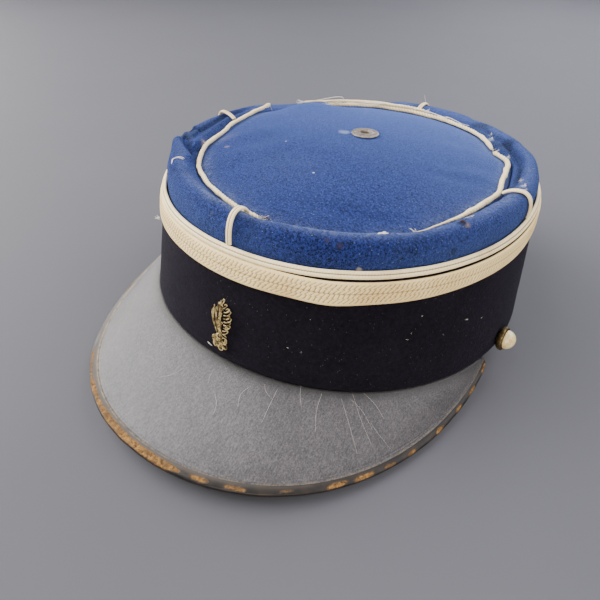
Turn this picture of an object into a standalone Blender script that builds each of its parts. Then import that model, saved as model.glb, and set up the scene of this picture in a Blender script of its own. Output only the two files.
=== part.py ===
"""Kepi cap: felt band, rolled wool crown, braid, cords, leather peak, buttons, vent and ornament.

Metres, +Z up, the front of the cap faces -Y and the wearer's left is +X. Every piece is modelled
in the cap's own frame, where the bottom edge of the band lies in the plane z = 0. The empty
cap_rest then carries all the pieces in the pose in which the cap rests by itself: on the back of
the band and on the two sides of the peak.

Angles run round the cap from the middle of the front (0 degrees) to the wearer's left (90), the
back (180) and the wearer's right (-90).
"""
import bpy
import bmesh
from math import atan2, copysign, cos, exp, pi, radians, sin
from mathutils import Matrix, Vector

# Sizes of the band
RIM_LENGTH = 0.2000
RIM_WIDTH = 0.1856
CROWN_LENGTH = 0.1968
CROWN_WIDTH = 0.1710
CROWN_SET_BACK = 0.0018
SQUARENESS = 2.09
BAND_FRONT_HEIGHT = 0.0390
BAND_BACK_HEIGHT = 0.0503
BAND_WALL = 0.0022
BAND_LEAN_IN = 0.0010
CLEARANCE = 0.0003
FACET_SAG = 0.0002
AROUND = 62

# Sizes of the braid and the cords
BRAID_WIDTH = 0.0085
BRAID_THICKNESS = 0.0010
SOUTACHE_WIDTH = 0.0024
SOUTACHE_THICKNESS = 0.0013
PIPING_DIAMETER = 0.0020
LOOSE_END_DIAMETER = 0.0017

# Sizes of the turban, the rolled side of the crown
TURBAN_WALL = 0.0020
TURBAN_LAP = 0.0070
ROLL_FRONT_RISE = 0.0139
ROLL_BACK_RISE = 0.0100
ROLL_BULGE = 0.0007
SEAM_LENGTH = 0.1590
SEAM_WIDTH = 0.1418
SEAM_SET_FORWARD = 0.0015
SEAM_ALLOWANCE = 0.0026

# Sizes of the top disc and its vent
DISC_WALL = 0.0020
DISC_DOME = 0.0095
VENT_DIAMETER = 0.0130
VENT_HEIGHT = 0.0012
VENT_HOLE = 0.0050
VENT_SET_LEFT = 0.0030
VENT_SET_BACK = 0.0020

# Sizes of the peak and its binding
PEAK_REACH = 0.0457
PEAK_SPREAD = radians(75.0)
PEAK_HORN = 0.0022
PEAK_FRONT_DROP = 0.0140
PEAK_SIDE_DROP = 0.0256
PEAK_THICKNESS = 0.0020
PEAK_TUCK = 0.0018
PEAK_CURL = 0.50
PEAK_STATIONS = 44
PEAK_CROWDING = 0.70
PEAK_ENDS = 0.985
BINDING_WIDTH = 0.0040
BINDING_LEATHER = 0.0009
BINDING_SHARE_AT_HORNS = 0.70

# Sizes of the side buttons
BUTTON_ANGLE = radians(82.0)
BUTTON_HEIGHT = 0.0038
BUTTON_DIAMETER = 0.0110
BUTTON_CUP_HEIGHT = 0.0030
BUTTON_DOME_DIAMETER = 0.0088

# Sizes of the bullion ornament
BADGE_BOTTOM = 0.0040
BADGE_SET_LEFT = 0.0015
BALL_WIDTH = 0.0094
BALL_RELIEF = 0.0024
FLAME_WIDTH = 0.0112
FLAME_HEIGHT = 0.0155
FLAME_RELIEF = 0.0018

# The roll of the turban, section by section round the cap
# angle: degrees; crest_in: share of the way from the foot to the seam at which the roll is highest
# crest_up: share of the roll's rise; valley: share of that height lost from the crest to the seam
# seam_in: share of the seam's half width by which the seam is pulled towards the middle
ROLL_FORM = (
    # angle, crest_in, crest_up, valley, seam_in
    (-180.0, 0.50, 1.00, 0.40, 0.00),
    (-164.0, 0.50, 0.92, 0.34, 0.00),
    (-150.0, 0.50, 0.68, 0.10, 0.00),
    (-128.0, 0.44, 0.64, 0.04, 0.00),
    (-112.0, 0.36, 0.72, 0.06, -0.01),
    (-98.0, 0.28, 0.94, 0.20, -0.01),
    (-84.0, 0.22, 0.98, 0.34, 0.00),
    (-73.0, 0.18, 0.98, 0.44, 0.01),
    (-65.0, 0.20, 1.12, 0.50, 0.01),
    (-56.0, 0.30, 1.10, 0.42, 0.01),
    (-42.0, 0.40, 1.02, 0.38, 0.00),
    (-20.0, 0.44, 1.00, 0.34, -0.01),
    (0.0, 0.46, 1.00, 0.38, -0.035),
    (14.0, 0.48, 0.97, 0.56, -0.04),
    (32.0, 0.50, 0.93, 0.60, -0.03),
    (48.0, 0.50, 0.95, 0.48, -0.03),
    (64.0, 0.46, 1.00, 0.38, -0.01),
    (80.0, 0.44, 1.00, 0.34, 0.00),
    (94.0, 0.40, 1.00, 0.44, 0.00),
    (108.0, 0.38, 1.00, 0.50, -0.01),
    (118.0, 0.38, 1.00, 0.50, -0.03),
    (127.0, 0.40, 1.00, 0.46, 0.02),
    (146.0, 0.46, 1.00, 0.42, 0.00),
)
SEAM_VALLEY = 0.39
SHOULDER_FULLNESS = 0.86

# Swells and dents of the top disc: place and spread as shares of the seam's half length,
# height as a share of the dome
DISC_SWELLS = (
    # across, back, spread, height
    (-0.64, 0.36, 0.22, 0.34),
    (-0.62, 0.05, 0.16, 0.06),
    (-0.35, -0.55, 0.30, -0.08),
    (0.55, 0.20, 0.26, 0.08),
)

# Rings of the top disc, as shares of the way from its middle to its edge
DISC_RINGS = (1.0, 0.93, 0.80, 0.58, 0.34, 0.14)

# Stretches of the cord on the top seam, in degrees
PIPING_STRETCHES = (
    # name, start, end
    ("top_piping_left", -126.0, 4.0),
    ("top_piping_front", 8.0, 48.0),
    ("top_piping_right", 49.5, 127.0),
    ("top_piping_back", 130.0, 226.0),
)
LOOSE_END_STRETCH = (178.0, 238.0)
PIPING_STEP = 6.0

# The four cords over the roll, in degrees
UPRIGHTS = (
    # name, angle
    ("upright_front", 1.0),
    ("upright_left", 87.0),
    ("upright_back", 182.0),
    ("upright_right", -85.0),
)

# Outline of the flame: half widths and heights as shares of the flame's width and height
FLAME_OUTLINE = (
    # side, up
    (-0.20, 0.00),
    (-0.42, 0.18),
    (-0.48, 0.46),
    (-0.36, 0.78),
    (-0.26, 0.56),
    (-0.14, 0.94),
    (-0.02, 0.66),
    (0.08, 1.00),
    (0.18, 0.62),
    (0.32, 0.84),
    (0.36, 0.56),
    (0.50, 0.58),
    (0.44, 0.26),
    (0.20, 0.00),
)

for old in list(bpy.data.objects):
    bpy.data.objects.remove(old, do_unlink=True)

cap = bpy.data.collections.new("kepi_cap")
bpy.context.scene.collection.children.link(cap)
rest = bpy.data.objects.new("cap_rest", None)
cap.objects.link(rest)


def material(name, colour, roughness, metallic=0.0):
    """A Principled material with one colour."""
    made = bpy.data.materials.new(name)
    made.use_nodes = True
    shader = made.node_tree.nodes["Principled BSDF"]
    shader.inputs["Base Color"].default_value = (*colour, 1.0)
    shader.inputs["Roughness"].default_value = roughness
    shader.inputs["Metallic"].default_value = metallic
    made.diffuse_color = (*colour, 1.0)
    return made


FELT = material("dark_felt", (0.008, 0.009, 0.016), 0.95)
WOOL = material("royal_blue_wool", (0.028, 0.070, 0.235), 0.92)
BRAID = material("cream_braid", (0.66, 0.57, 0.43), 0.75)
CORD = material("cream_cord", (0.76, 0.68, 0.54), 0.80)
LEATHER = material("black_leather", (0.060, 0.058, 0.060), 0.48)
BINDING = material("worn_binding_leather", (0.035, 0.022, 0.015), 0.50)
IVORY = material("ivory_button", (0.76, 0.70, 0.56), 0.25)
BRASS = material("tarnished_brass", (0.28, 0.20, 0.11), 0.45, 1.0)
VENT_METAL = material("aged_vent_metal", (0.42, 0.38, 0.32), 0.50, 1.0)
BULLION = material("gold_bullion", (0.55, 0.42, 0.20), 0.45, 1.0)


def mix(start, end, share):
    """The value a share of the way from start to end."""
    return start + (end - start) * share


def place(obj, finish):
    """Give a piece its material and hang it on the empty that holds the rest pose."""
    obj.data.materials.append(finish)
    cap.objects.link(obj)
    obj.parent = rest
    return obj


def smooth(mesh):
    """Shade a mesh smooth, with its real edges kept sharp."""
    mesh.shade_smooth()
    mesh.set_sharp_from_angle(angle=radians(40.0))


def surface(name, rows, finish, closed_across, pole=None):
    """An open surface through rows of points, each row closed round the cap or open."""
    form = bmesh.new()
    made = [[form.verts.new(point) for point in row] for row in rows]
    count = len(rows[0])
    spans = count if closed_across else count - 1
    for low, high in zip(made, made[1:]):
        for i in range(spans):
            j = (i + 1) % count
            form.faces.new((low[i], low[j], high[j], high[i]))
    if pole is not None:
        middle = form.verts.new(pole)
        for i in range(spans):
            form.faces.new((made[-1][i], made[-1][(i + 1) % count], middle))
    mesh = bpy.data.meshes.new(name)
    form.to_mesh(mesh)
    form.free()
    smooth(mesh)
    return place(bpy.data.objects.new(name, mesh), finish)


def thicken(obj, thickness, side):
    """Turn an open surface into a wall: side -1 grows it inwards, +1 outwards."""
    wall = obj.modifiers.new("wall", "SOLIDIFY")
    wall.thickness = thickness
    wall.offset = side
    wall.use_even_offset = True
    wall.thickness_clamp = 0.0
    return obj


def sweep(name, sections, finish, closed_along):
    """A solid swept through like closed sections, capped at both ends where it is open."""
    form = bmesh.new()
    made = [[form.verts.new(point) for point in section] for section in sections]
    count = len(sections[0])
    spans = len(made) if closed_along else len(made) - 1
    for k in range(spans):
        here, there = made[k], made[(k + 1) % len(made)]
        for i in range(count):
            j = (i + 1) % count
            form.faces.new((here[i], here[j], there[j], there[i]))
    if not closed_along:
        form.faces.new(made[0])
        form.faces.new(made[-1])
    bmesh.ops.recalc_face_normals(form, faces=form.faces)
    mesh = bpy.data.meshes.new(name)
    form.to_mesh(mesh)
    form.free()
    smooth(mesh)
    return place(bpy.data.objects.new(name, mesh), finish)


def turned(name, profile, steps, finish, matrix):
    """A turned solid: a profile at +X, top to bottom, spun round its own Z."""
    mesh = bpy.data.meshes.new(name)
    points = [(radius, 0.0, height) for radius, height in profile]
    edges = [(i, i + 1) for i in range(len(points) - 1)]
    mesh.from_pydata(points, edges, [])
    obj = place(bpy.data.objects.new(name, mesh), finish)
    obj.matrix_local = matrix
    spin = obj.modifiers.new("spin", "SCREW")
    spin.steps = steps
    spin.render_steps = steps
    spin.use_merge_vertices = True
    spin.merge_threshold = 0.00001
    return obj


def cord(name, points, diameter, finish):
    """A round cord through a row of points."""
    curve = bpy.data.curves.new(name, "CURVE")
    curve.dimensions = "3D"
    curve.bevel_depth = diameter / 2
    curve.bevel_resolution = 2
    curve.use_fill_caps = True
    line = curve.splines.new("POLY")
    line.points.add(len(points) - 1)
    for knot, point in zip(line.points, points):
        knot.co = (*point, 1.0)
    return place(bpy.data.objects.new(name, curve), finish)


def oval(angle, half_length, half_width):
    """A point of the head's oval."""
    across, along = sin(angle), cos(angle)
    power = 2.0 / SQUARENESS
    x = half_width * copysign(abs(across) ** power, across)
    y = -half_length * copysign(abs(along) ** power, along)
    return x, y


def round_angles():
    """The angles of the sections round the cap."""
    return [2.0 * pi * k / AROUND for k in range(AROUND)]


BRAID_BED = BRAID_WIDTH + CLEARANCE


def wall_point(angle, level, out=0.0):
    """A point of the band's outer face.

    level runs from 0 at the rim to 1 at the braid's lower edge and 2 at the band's top edge.
    """
    low, high = min(level, 1.0), max(level - 1.0, 0.0)
    half_length = mix(RIM_LENGTH, CROWN_LENGTH, low) / 2 - BAND_LEAN_IN * high + out
    half_width = mix(RIM_WIDTH, CROWN_WIDTH, low) / 2 - BAND_LEAN_IN * high + out
    x, y = oval(angle, half_length, half_width)
    back = (1.0 + y / half_length) / 2
    height = mix(BAND_FRONT_HEIGHT, BAND_BACK_HEIGHT, back) * low + BRAID_BED * high
    return Vector((x, y + CROWN_SET_BACK * low, height))


def roll_form(angle):
    """The roll's form at an angle: a smooth curve through the rows of the table."""
    degrees = (angle * 180.0 / pi + 180.0) % 360.0 - 180.0
    k = max(i for i, row in enumerate(ROLL_FORM) if row[0] <= degrees)
    picks = []
    for i in (k - 1, k, k + 1, k + 2):
        turns, index = divmod(i, len(ROLL_FORM))
        picks.append((ROLL_FORM[index][0] + 360.0 * turns, ROLL_FORM[index]))
    (a0, r0), (a1, r1), (a2, r2), (a3, r3) = picks
    span = a2 - a1
    u = (degrees - a1) / span
    form = []
    for c in range(1, len(r1)):
        slope_1 = (r2[c] - r0[c]) / (a2 - a0) * span
        slope_2 = (r3[c] - r1[c]) / (a3 - a1) * span
        form.append(
            r1[c] * (2 * u ** 3 - 3 * u ** 2 + 1)
            + slope_1 * (u ** 3 - 2 * u ** 2 + u)
            + r2[c] * (3 * u ** 2 - 2 * u ** 3)
            + slope_2 * (u ** 3 - u ** 2)
        )
    return form


def foot_point(angle):
    """Where the turban leaves the band, level with the band's top edge."""
    return wall_point(angle, 2.0, -(BAND_WALL + CLEARANCE))


def roll_rise(foot):
    """The height of the roll's crest above the band's top edge."""
    share = (foot.z - BAND_FRONT_HEIGHT - BRAID_BED) / (BAND_BACK_HEIGHT - BAND_FRONT_HEIGHT)
    return mix(ROLL_FRONT_RISE, ROLL_BACK_RISE, share)


def seam_point(angle):
    """A point of the seam between the turban and the top disc."""
    crest_in, crest_up, valley, seam_in = roll_form(angle)
    foot = foot_point(angle)
    x = SEAM_WIDTH / 2 * sin(angle) * (1.0 - seam_in)
    y = -SEAM_LENGTH / 2 * cos(angle) * (1.0 - seam_in) - SEAM_SET_FORWARD
    return Vector((x, y, foot.z + roll_rise(foot) * crest_up * (1.0 - valley)))


def roll_point(angle, along):
    """A point of the roll's outer face: along is 0 at the foot, 1 at the crest, 2 at the seam."""
    crest_in, crest_up, valley, seam_in = roll_form(angle)
    foot, seam = foot_point(angle), seam_point(angle)
    inwards = Vector((seam.x - foot.x, seam.y - foot.y, 0.0))
    top = roll_rise(foot) * crest_up
    if along <= 1.0:
        turn = along * pi / 2
        way_in = crest_in * (1.0 - max(cos(turn), 0.0) ** SHOULDER_FULLNESS)
        height = top * sin(turn) ** SHOULDER_FULLNESS
        out = ROLL_BULGE * sin(pi * along)
    else:
        turn = (along - 1.0) * pi / 2
        way_in = mix(crest_in, 1.0, sin(turn))
        height = top * (1.0 - valley * (1.0 - cos(turn)))
        out = 0.0
    point = foot + inwards * way_in - inwards.normalized() * out
    point.z = foot.z + height
    return point


def roll_normal(angle, along):
    """The direction straight out of the roll's face, in the plane of its section."""
    step = 0.01
    ahead = roll_point(angle, min(along + step, 2.0)) - roll_point(angle, max(along - step, 0.0))
    sideways = roll_point(angle + step, along) - roll_point(angle - step, along)
    return sideways.cross(ahead).normalized()


def seam_plane(y):
    """The even height of the seam, without the roll's folds."""
    front, back = foot_point(0.0), foot_point(pi)
    front_height = front.z + ROLL_FRONT_RISE * (1.0 - SEAM_VALLEY)
    back_height = back.z + ROLL_BACK_RISE * (1.0 - SEAM_VALLEY)
    return mix(front_height, back_height, 0.5 + (y + SEAM_SET_FORWARD) / SEAM_LENGTH)


def disc_edge(angle):
    """The edge of the top disc, a clearance inside the seam."""
    seam = seam_point(angle)
    inwards = Vector((-seam.x, -SEAM_SET_FORWARD - seam.y, 0.0)).normalized()
    return seam + inwards * CLEARANCE


def disc_point(angle, share):
    """A point of the top disc's upper face, a share of the way from its middle to its edge."""
    edge = disc_edge(angle)
    x = edge.x * share
    y = mix(-SEAM_SET_FORWARD, edge.y, share)
    dome = DISC_DOME * (1.0 - share ** 2.2)
    fold = (edge.z - seam_plane(edge.y)) * share ** 5
    swell = 0.0
    half = SEAM_LENGTH / 2
    for across, back, spread, height in DISC_SWELLS:
        away = ((x / half - across) ** 2 + (y / half - back) ** 2) / spread ** 2
        swell += DISC_DOME * height * exp(-away)
    return Vector((x, y, seam_plane(y) + dome + fold + swell * (1.0 - share ** 8)))


def band():
    """The stiffened felt wall, flat along its bottom edge."""
    levels = (0.0, 1.0, 2.0)
    sections = []
    for angle in round_angles():
        outside = [wall_point(angle, level) for level in levels]
        inside = [wall_point(angle, level, -BAND_WALL) for level in reversed(levels)]
        sections.append(outside + inside)
    return sweep("band", sections, FELT, True)


def braid():
    """The flat braid on the upper part of the band."""
    top_level = 1.0 + BRAID_WIDTH / BRAID_BED
    rows = [
        [wall_point(angle, level, CLEARANCE) for angle in round_angles()]
        for level in (1.0, top_level)
    ]
    return thicken(surface("braid", rows, BRAID, True), BRAID_THICKNESS, 1)


def cord_section(middle, across, out, width, thickness):
    """The eight-sided section of a flat double cord."""
    corners = ((-0.5, 0.25), (-0.5, -0.25), (-0.3, -0.5), (0.3, -0.5), (0.5, -0.25),
               (0.5, 0.25), (0.3, 0.5), (-0.3, 0.5))
    return [middle + across * (width * u) + out * (thickness * v) for u, v in corners]


def soutache_middle(angle):
    """The middle of the cord that stands on the band's top edge, against the turban."""
    foot = foot_point(angle)
    out = Vector((foot.x, foot.y - CROWN_SET_BACK, 0.0)).normalized()
    inset = CLEARANCE + ROLL_BULGE + SOUTACHE_THICKNESS / 2
    height = CLEARANCE + SOUTACHE_WIDTH / 2
    return foot + out * inset + Vector((0.0, 0.0, height)), out


def upper_soutache():
    """The double cord above the braid."""
    up = Vector((0.0, 0.0, 1.0))
    sections = []
    for angle in round_angles():
        middle, out = soutache_middle(angle)
        sections.append(cord_section(middle, up, out, SOUTACHE_WIDTH, SOUTACHE_THICKNESS))
    return sweep("upper_soutache", sections, CORD, True)


def turban():
    """The rolled wool side of the crown, from its lap inside the band to the seam."""
    lap_level = 2.0 - TURBAN_LAP / BRAID_BED
    inside = -(BAND_WALL + CLEARANCE)
    rows = [[wall_point(angle, lap_level, inside) for angle in round_angles()]]
    for along in (0.0, 0.22, 0.42, 0.62, 0.82, 1.0, 1.25, 1.5, 1.75, 2.0):
        rows.append([roll_point(angle, along) for angle in round_angles()])
    drop = Vector((0.0, 0.0, SEAM_ALLOWANCE))
    rows.append([roll_point(angle, 2.0) - drop for angle in round_angles()])
    return thicken(surface("turban", rows, WOOL, True), TURBAN_WALL, -1)


def top_disc():
    """The domed top of the crown."""
    rows = [[disc_point(angle, share) for angle in round_angles()] for share in DISC_RINGS]
    pole = disc_point(0.0, 0.0)
    return thicken(surface("top_disc", rows, WOOL, True, pole), DISC_WALL, -1)


def piping_middle(angle, diameter=PIPING_DIAMETER, lift=0.0):
    """The middle of the cord that lies on the disc's edge, against the roll."""
    edge = disc_edge(angle)
    reach = diameter / 2 + CLEARANCE
    radius = Vector((edge.x, edge.y + SEAM_SET_FORWARD)).length
    bed = disc_point(angle, 1.0 - reach / radius)
    return bed + Vector((0.0, 0.0, reach * 1.15 + lift))


def piping_points(start, end, diameter, lift=0.0):
    """The row of points of one stretch of cord, start and end in degrees."""
    count = max(int(round((end - start) / PIPING_STEP)), 1)
    turns = [radians(mix(start, end, k / count)) for k in range(count + 1)]
    return [piping_middle(angle, diameter, lift) for angle in turns]


def top_piping():
    """The cord on the top seam, in the stretches that are left of it."""
    for name, start, end in PIPING_STRETCHES:
        cord(name, piping_points(start, end, PIPING_DIAMETER), PIPING_DIAMETER, CORD)
    start, end = LOOSE_END_STRETCH
    lift = (PIPING_DIAMETER + LOOSE_END_DIAMETER) / 2 + CLEARANCE
    points = piping_points(start, end, LOOSE_END_DIAMETER, lift)
    cord("top_piping_loose_end", points, LOOSE_END_DIAMETER, CORD)


def upright(name, angle):
    """A double cord that climbs from the band's edge over the roll to the top seam."""
    stand_off = CLEARANCE + SOUTACHE_THICKNESS / 2
    above_soutache = SOUTACHE_WIDTH + 2 * CLEARANCE
    clear_of_piping = PIPING_DIAMETER / 2 + SOUTACHE_THICKNESS / 2 + 2 * CLEARANCE
    piping = piping_middle(angle)
    foot = foot_point(angle)
    sideways = (roll_point(angle + 0.01, 1.0) - roll_point(angle - 0.01, 1.0)).normalized()
    sections = []
    for k in range(41):
        along = 2.0 * k / 40
        out = roll_normal(angle, along)
        middle = roll_point(angle, along) + out * stand_off
        low = middle.z < foot.z + above_soutache
        if low or (middle - piping).length < clear_of_piping:
            continue
        sections.append(cord_section(middle, sideways, out, SOUTACHE_WIDTH, SOUTACHE_THICKNESS))
    kept = sections[::3]
    if len(sections) % 3 != 1:
        kept.append(sections[-1])
    return sweep(name, kept, CORD, False)


def vent():
    """The eyelet in the middle of the top: a flange, a raised lip and a sunk middle."""
    radius, hole, height = VENT_DIAMETER / 2, VENT_HOLE / 2, VENT_HEIGHT
    angle = atan2(VENT_SET_LEFT, -VENT_SET_BACK)
    share = Vector((VENT_SET_LEFT, VENT_SET_BACK)).length / (SEAM_LENGTH / 2)
    here = disc_point(angle, share)
    front, back = disc_point(0.0, 0.1), disc_point(pi, 0.1)
    left, right = disc_point(pi / 2, 0.1), disc_point(-pi / 2, 0.1)
    normal = (left - right).cross(back - front).normalized()
    profile = (
        (0.0, height * 0.30),
        (hole * 0.92, height * 0.30),
        (hole, height * 0.55),
        (hole * 1.12, height),
        (hole * 1.35, height * 0.95),
        (hole * 1.60, height * 0.62),
        (radius * 0.90, height * 0.55),
        (radius, height * 0.30),
        (radius, 0.0),
        (0.0, 0.0),
    )
    turn = normal.to_track_quat("Z", "Y").to_matrix().to_4x4()
    spot = Matrix.Translation(here + normal * (CLEARANCE + FACET_SAG))
    return turned("vent", profile, 20, VENT_METAL, spot @ turn)


def peak_root(share, out):
    """A point under the band's rim: share runs from -1 at the right horn to 1 at the left."""
    return wall_point(share * PEAK_SPREAD, 0.0, out)


def peak_edge(share):
    """A point of the peak's outer edge, binding included."""
    horn = peak_root(1.0, 0.0)
    swing = share * pi / 2
    across, ahead = sin(swing), cos(swing)
    power = 2.0 / SQUARENESS
    half_width = horn.x + PEAK_HORN
    start = horn.y - PEAK_HORN
    reach = RIM_LENGTH / 2 + PEAK_REACH + start
    x = half_width * copysign(abs(across) ** power, across)
    y = start - reach * max(ahead, 0.0) ** power
    drop = mix(PEAK_FRONT_DROP, PEAK_SIDE_DROP, across ** 2) * max(ahead, 0.0) ** PEAK_CURL
    return Vector((x, y, -drop - CLEARANCE))


def peak_point(share, way):
    """A point of the peak's upper face: way is 0 at the band's face and 1 at the outer edge."""
    root, edge = peak_root(share, CLEARANCE), peak_edge(share)
    root.z = -CLEARANCE
    point = root.lerp(edge, way)
    point.z = mix(root.z, edge.z, way ** 1.12)
    return point


def binding_width(share):
    """The binding's width, narrower where the peak ends in its horns."""
    length = (peak_point(share, 1.0) - peak_point(share, 0.0)).length
    return min(BINDING_WIDTH, length * BINDING_SHARE_AT_HORNS)


def peak_frame(share):
    """The outer edge, straight out over it, and straight up out of the leather."""
    edge = peak_edge(share)
    length = (edge - peak_point(share, 0.0)).length
    out = (edge - peak_point(share, 1.0 - binding_width(share) / length)).normalized()
    step = 0.05
    low, high = max(share - step, -1.0), min(share + step, 1.0)
    sideways = peak_edge(high) - peak_edge(low)
    up = out.cross(sideways).normalized()
    return edge, out, up


def peak_shares():
    """The stations across the peak, closer together towards the horns."""
    steps = [mix(-1.0, 1.0, k / PEAK_STATIONS) for k in range(PEAK_STATIONS + 1)]
    return [mix(step, sin(step * pi / 2), PEAK_CROWDING) * PEAK_ENDS for step in steps]


def peak():
    """The leather peak, tucked under the band's rim."""
    sections = []
    for share in peak_shares():
        edge, out, up = peak_frame(share)
        top_edge = edge - out * (BINDING_LEATHER + CLEARANCE)
        under_binding = edge - out * binding_width(share)
        tuck, root = peak_root(share, -PEAK_TUCK), peak_root(share, CLEARANCE)
        tuck.z = root.z = -CLEARANCE
        shown = 1.0 - binding_width(share) / (edge - root).length
        top = [tuck, root, peak_point(share, shown * 0.35), peak_point(share, shown * 0.70)]
        top += [under_binding, top_edge]
        under_rim = Vector((0.0, 0.0, -PEAK_THICKNESS))
        under_slope = -up * PEAK_THICKNESS
        under_bend = (under_rim + under_slope).normalized() * PEAK_THICKNESS
        drops = [under_rim, under_bend] + [under_slope] * (len(top) - 2)
        below = [point + drop for point, drop in zip(top, drops)]
        sections.append(top + below[::-1])
    return sweep("peak", sections, LEATHER, False)


def peak_binding():
    """The leather strip rolled round the peak's edge."""
    inner = PEAK_THICKNESS / 2 + CLEARANCE
    outer = inner + BINDING_LEATHER
    edge = -BINDING_LEATHER
    sections = []
    for share in peak_shares():
        middle, out, up = peak_frame(share)
        middle = middle - up * (PEAK_THICKNESS / 2)
        width = binding_width(share)
        outline = (
            (-width, outer),
            (edge, outer),
            (edge * 0.35, outer * 0.75),
            (0.0, 0.0),
            (edge * 0.35, -outer * 0.75),
            (edge, -outer),
            (-width, -outer),
            (-width, -inner),
            (edge, -inner),
            (edge, inner),
            (-width, inner),
        )
        sections.append([middle + out * u + up * v for u, v in outline])
    return sweep("peak_binding", sections, BINDING, False)


def side_button(side, name):
    """A side button: a dished metal cup against the band and a domed button in it."""
    angle = side * BUTTON_ANGLE
    level = BUTTON_HEIGHT / mix(BAND_FRONT_HEIGHT, BAND_BACK_HEIGHT, 0.5)
    here = wall_point(angle, level)
    ahead = wall_point(angle + 0.02, level) - wall_point(angle - 0.02, level)
    rise = wall_point(angle, level + 0.05) - wall_point(angle, level - 0.05)
    out = ahead.cross(rise).normalized()
    turn = out.to_track_quat("Z", "Y").to_matrix().to_4x4()
    stand = CLEARANCE + FACET_SAG
    cup_radius, height = BUTTON_DIAMETER / 2, BUTTON_CUP_HEIGHT
    ball = BUTTON_DOME_DIAMETER / 2
    seat = ball * 0.55
    floor = height * 0.35
    cup = (
        (0.0, floor),
        (seat, floor),
        (ball + CLEARANCE, height * 0.85),
        (ball + CLEARANCE * 2, height),
        (cup_radius, height * 0.72),
        (cup_radius, height * 0.35),
        (cup_radius * 0.8, 0.0),
        (0.0, 0.0),
    )
    turned(name + "_rim", cup, 16, BRASS, Matrix.Translation(here + out * stand) @ turn)
    dome = [(0.0, ball * 0.96)]
    for degrees in (68.0, 46.0, 24.0, 2.0):
        dome.append((ball * cos(radians(degrees)), ball * 0.96 * sin(radians(degrees))))
    low = floor + CLEARANCE - height
    dome += [(ball * 0.98, 0.0), (seat - CLEARANCE, low), (0.0, low)]
    spot = Matrix.Translation(here + out * (stand + height))
    turned(name + "_dome", dome, 16, IVORY, spot @ turn)


def badge():
    """The bullion ornament on the front of the band: a ball with a flame above it."""
    angle = 2.0 * BADGE_SET_LEFT / RIM_WIDTH
    low, high = wall_point(angle, 0.0), wall_point(angle, 0.5)
    up = (high - low).normalized()
    across = (wall_point(angle + 0.05, 0.0) - wall_point(angle - 0.05, 0.0)).normalized()
    out = across.cross(up).normalized()
    across = up.cross(out)
    base = low + out * CLEARANCE + up * BADGE_BOTTOM
    frame = Matrix((
        (across.x, up.x, out.x, base.x),
        (across.y, up.y, out.y, base.y),
        (across.z, up.z, out.z, base.z),
        (0.0, 0.0, 0.0, 1.0),
    ))
    radius = BALL_WIDTH / 2
    profile = [(0.0, BALL_RELIEF)]
    for degrees in (60.0, 32.0, 6.0):
        profile.append((radius * cos(radians(degrees)), BALL_RELIEF * sin(radians(degrees))))
    profile += [(radius, 0.0), (0.0, 0.0)]
    turned("badge_ball", profile, 16, BULLION, frame @ Matrix.Translation((0.0, radius, 0.0)))
    curve = bpy.data.curves.new("badge_flame", "CURVE")
    curve.dimensions = "2D"
    curve.fill_mode = "BOTH"
    curve.extrude = FLAME_RELIEF / 2
    line = curve.splines.new("POLY")
    line.points.add(len(FLAME_OUTLINE) - 1)
    for knot, (side, rise) in zip(line.points, FLAME_OUTLINE):
        knot.co = (side * FLAME_WIDTH, rise * FLAME_HEIGHT, 0.0, 1.0)
    line.use_cyclic_u = True
    flame = place(bpy.data.objects.new("badge_flame", curve), BULLION)
    foot = BALL_WIDTH + CLEARANCE
    flame.matrix_local = frame @ Matrix.Translation((0.0, foot, FLAME_RELIEF / 2 + CLEARANCE))


def settle():
    """Lean the cap back on its band and its peak, with its origin under the middle."""
    bpy.context.view_layer.update()
    graph = bpy.context.evaluated_depsgraph_get()
    points = {}
    for obj in cap.objects:
        if obj.type == "EMPTY":
            continue
        seen = obj.evaluated_get(graph)
        mesh = seen.to_mesh()
        points[obj.name] = [seen.matrix_world @ vert.co for vert in mesh.vertices]
        seen.to_mesh_clear()
    heel = max((point for point in points["band"] if point.z < CLEARANCE), key=lambda p: p.y)
    tilt = max(atan2(heel.z - p.z, heel.y - p.y) for p in points["peak_binding"])
    turn = Matrix.Rotation(-tilt, 4, "X")
    turned_points = [turn @ point for group in points.values() for point in group]
    low = [min(point[i] for point in turned_points) for i in range(3)]
    high = [max(point[i] for point in turned_points) for i in range(3)]
    shift = Vector((-(low[0] + high[0]) / 2, -(low[1] + high[1]) / 2, -low[2]))
    rest.matrix_world = Matrix.Translation(shift) @ turn


band()
braid()
upper_soutache()
turban()
top_disc()
top_piping()
for cord_name, degrees_round in UPRIGHTS:
    upright(cord_name, radians(degrees_round))
vent()
peak()
peak_binding()
side_button(1.0, "button_left")
side_button(-1.0, "button_right")
badge()
settle()
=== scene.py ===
import random
from math import atan2, cos, pi, radians, sin

import bmesh
import bpy
import numpy as np
from mathutils import Matrix, Vector, noise


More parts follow.
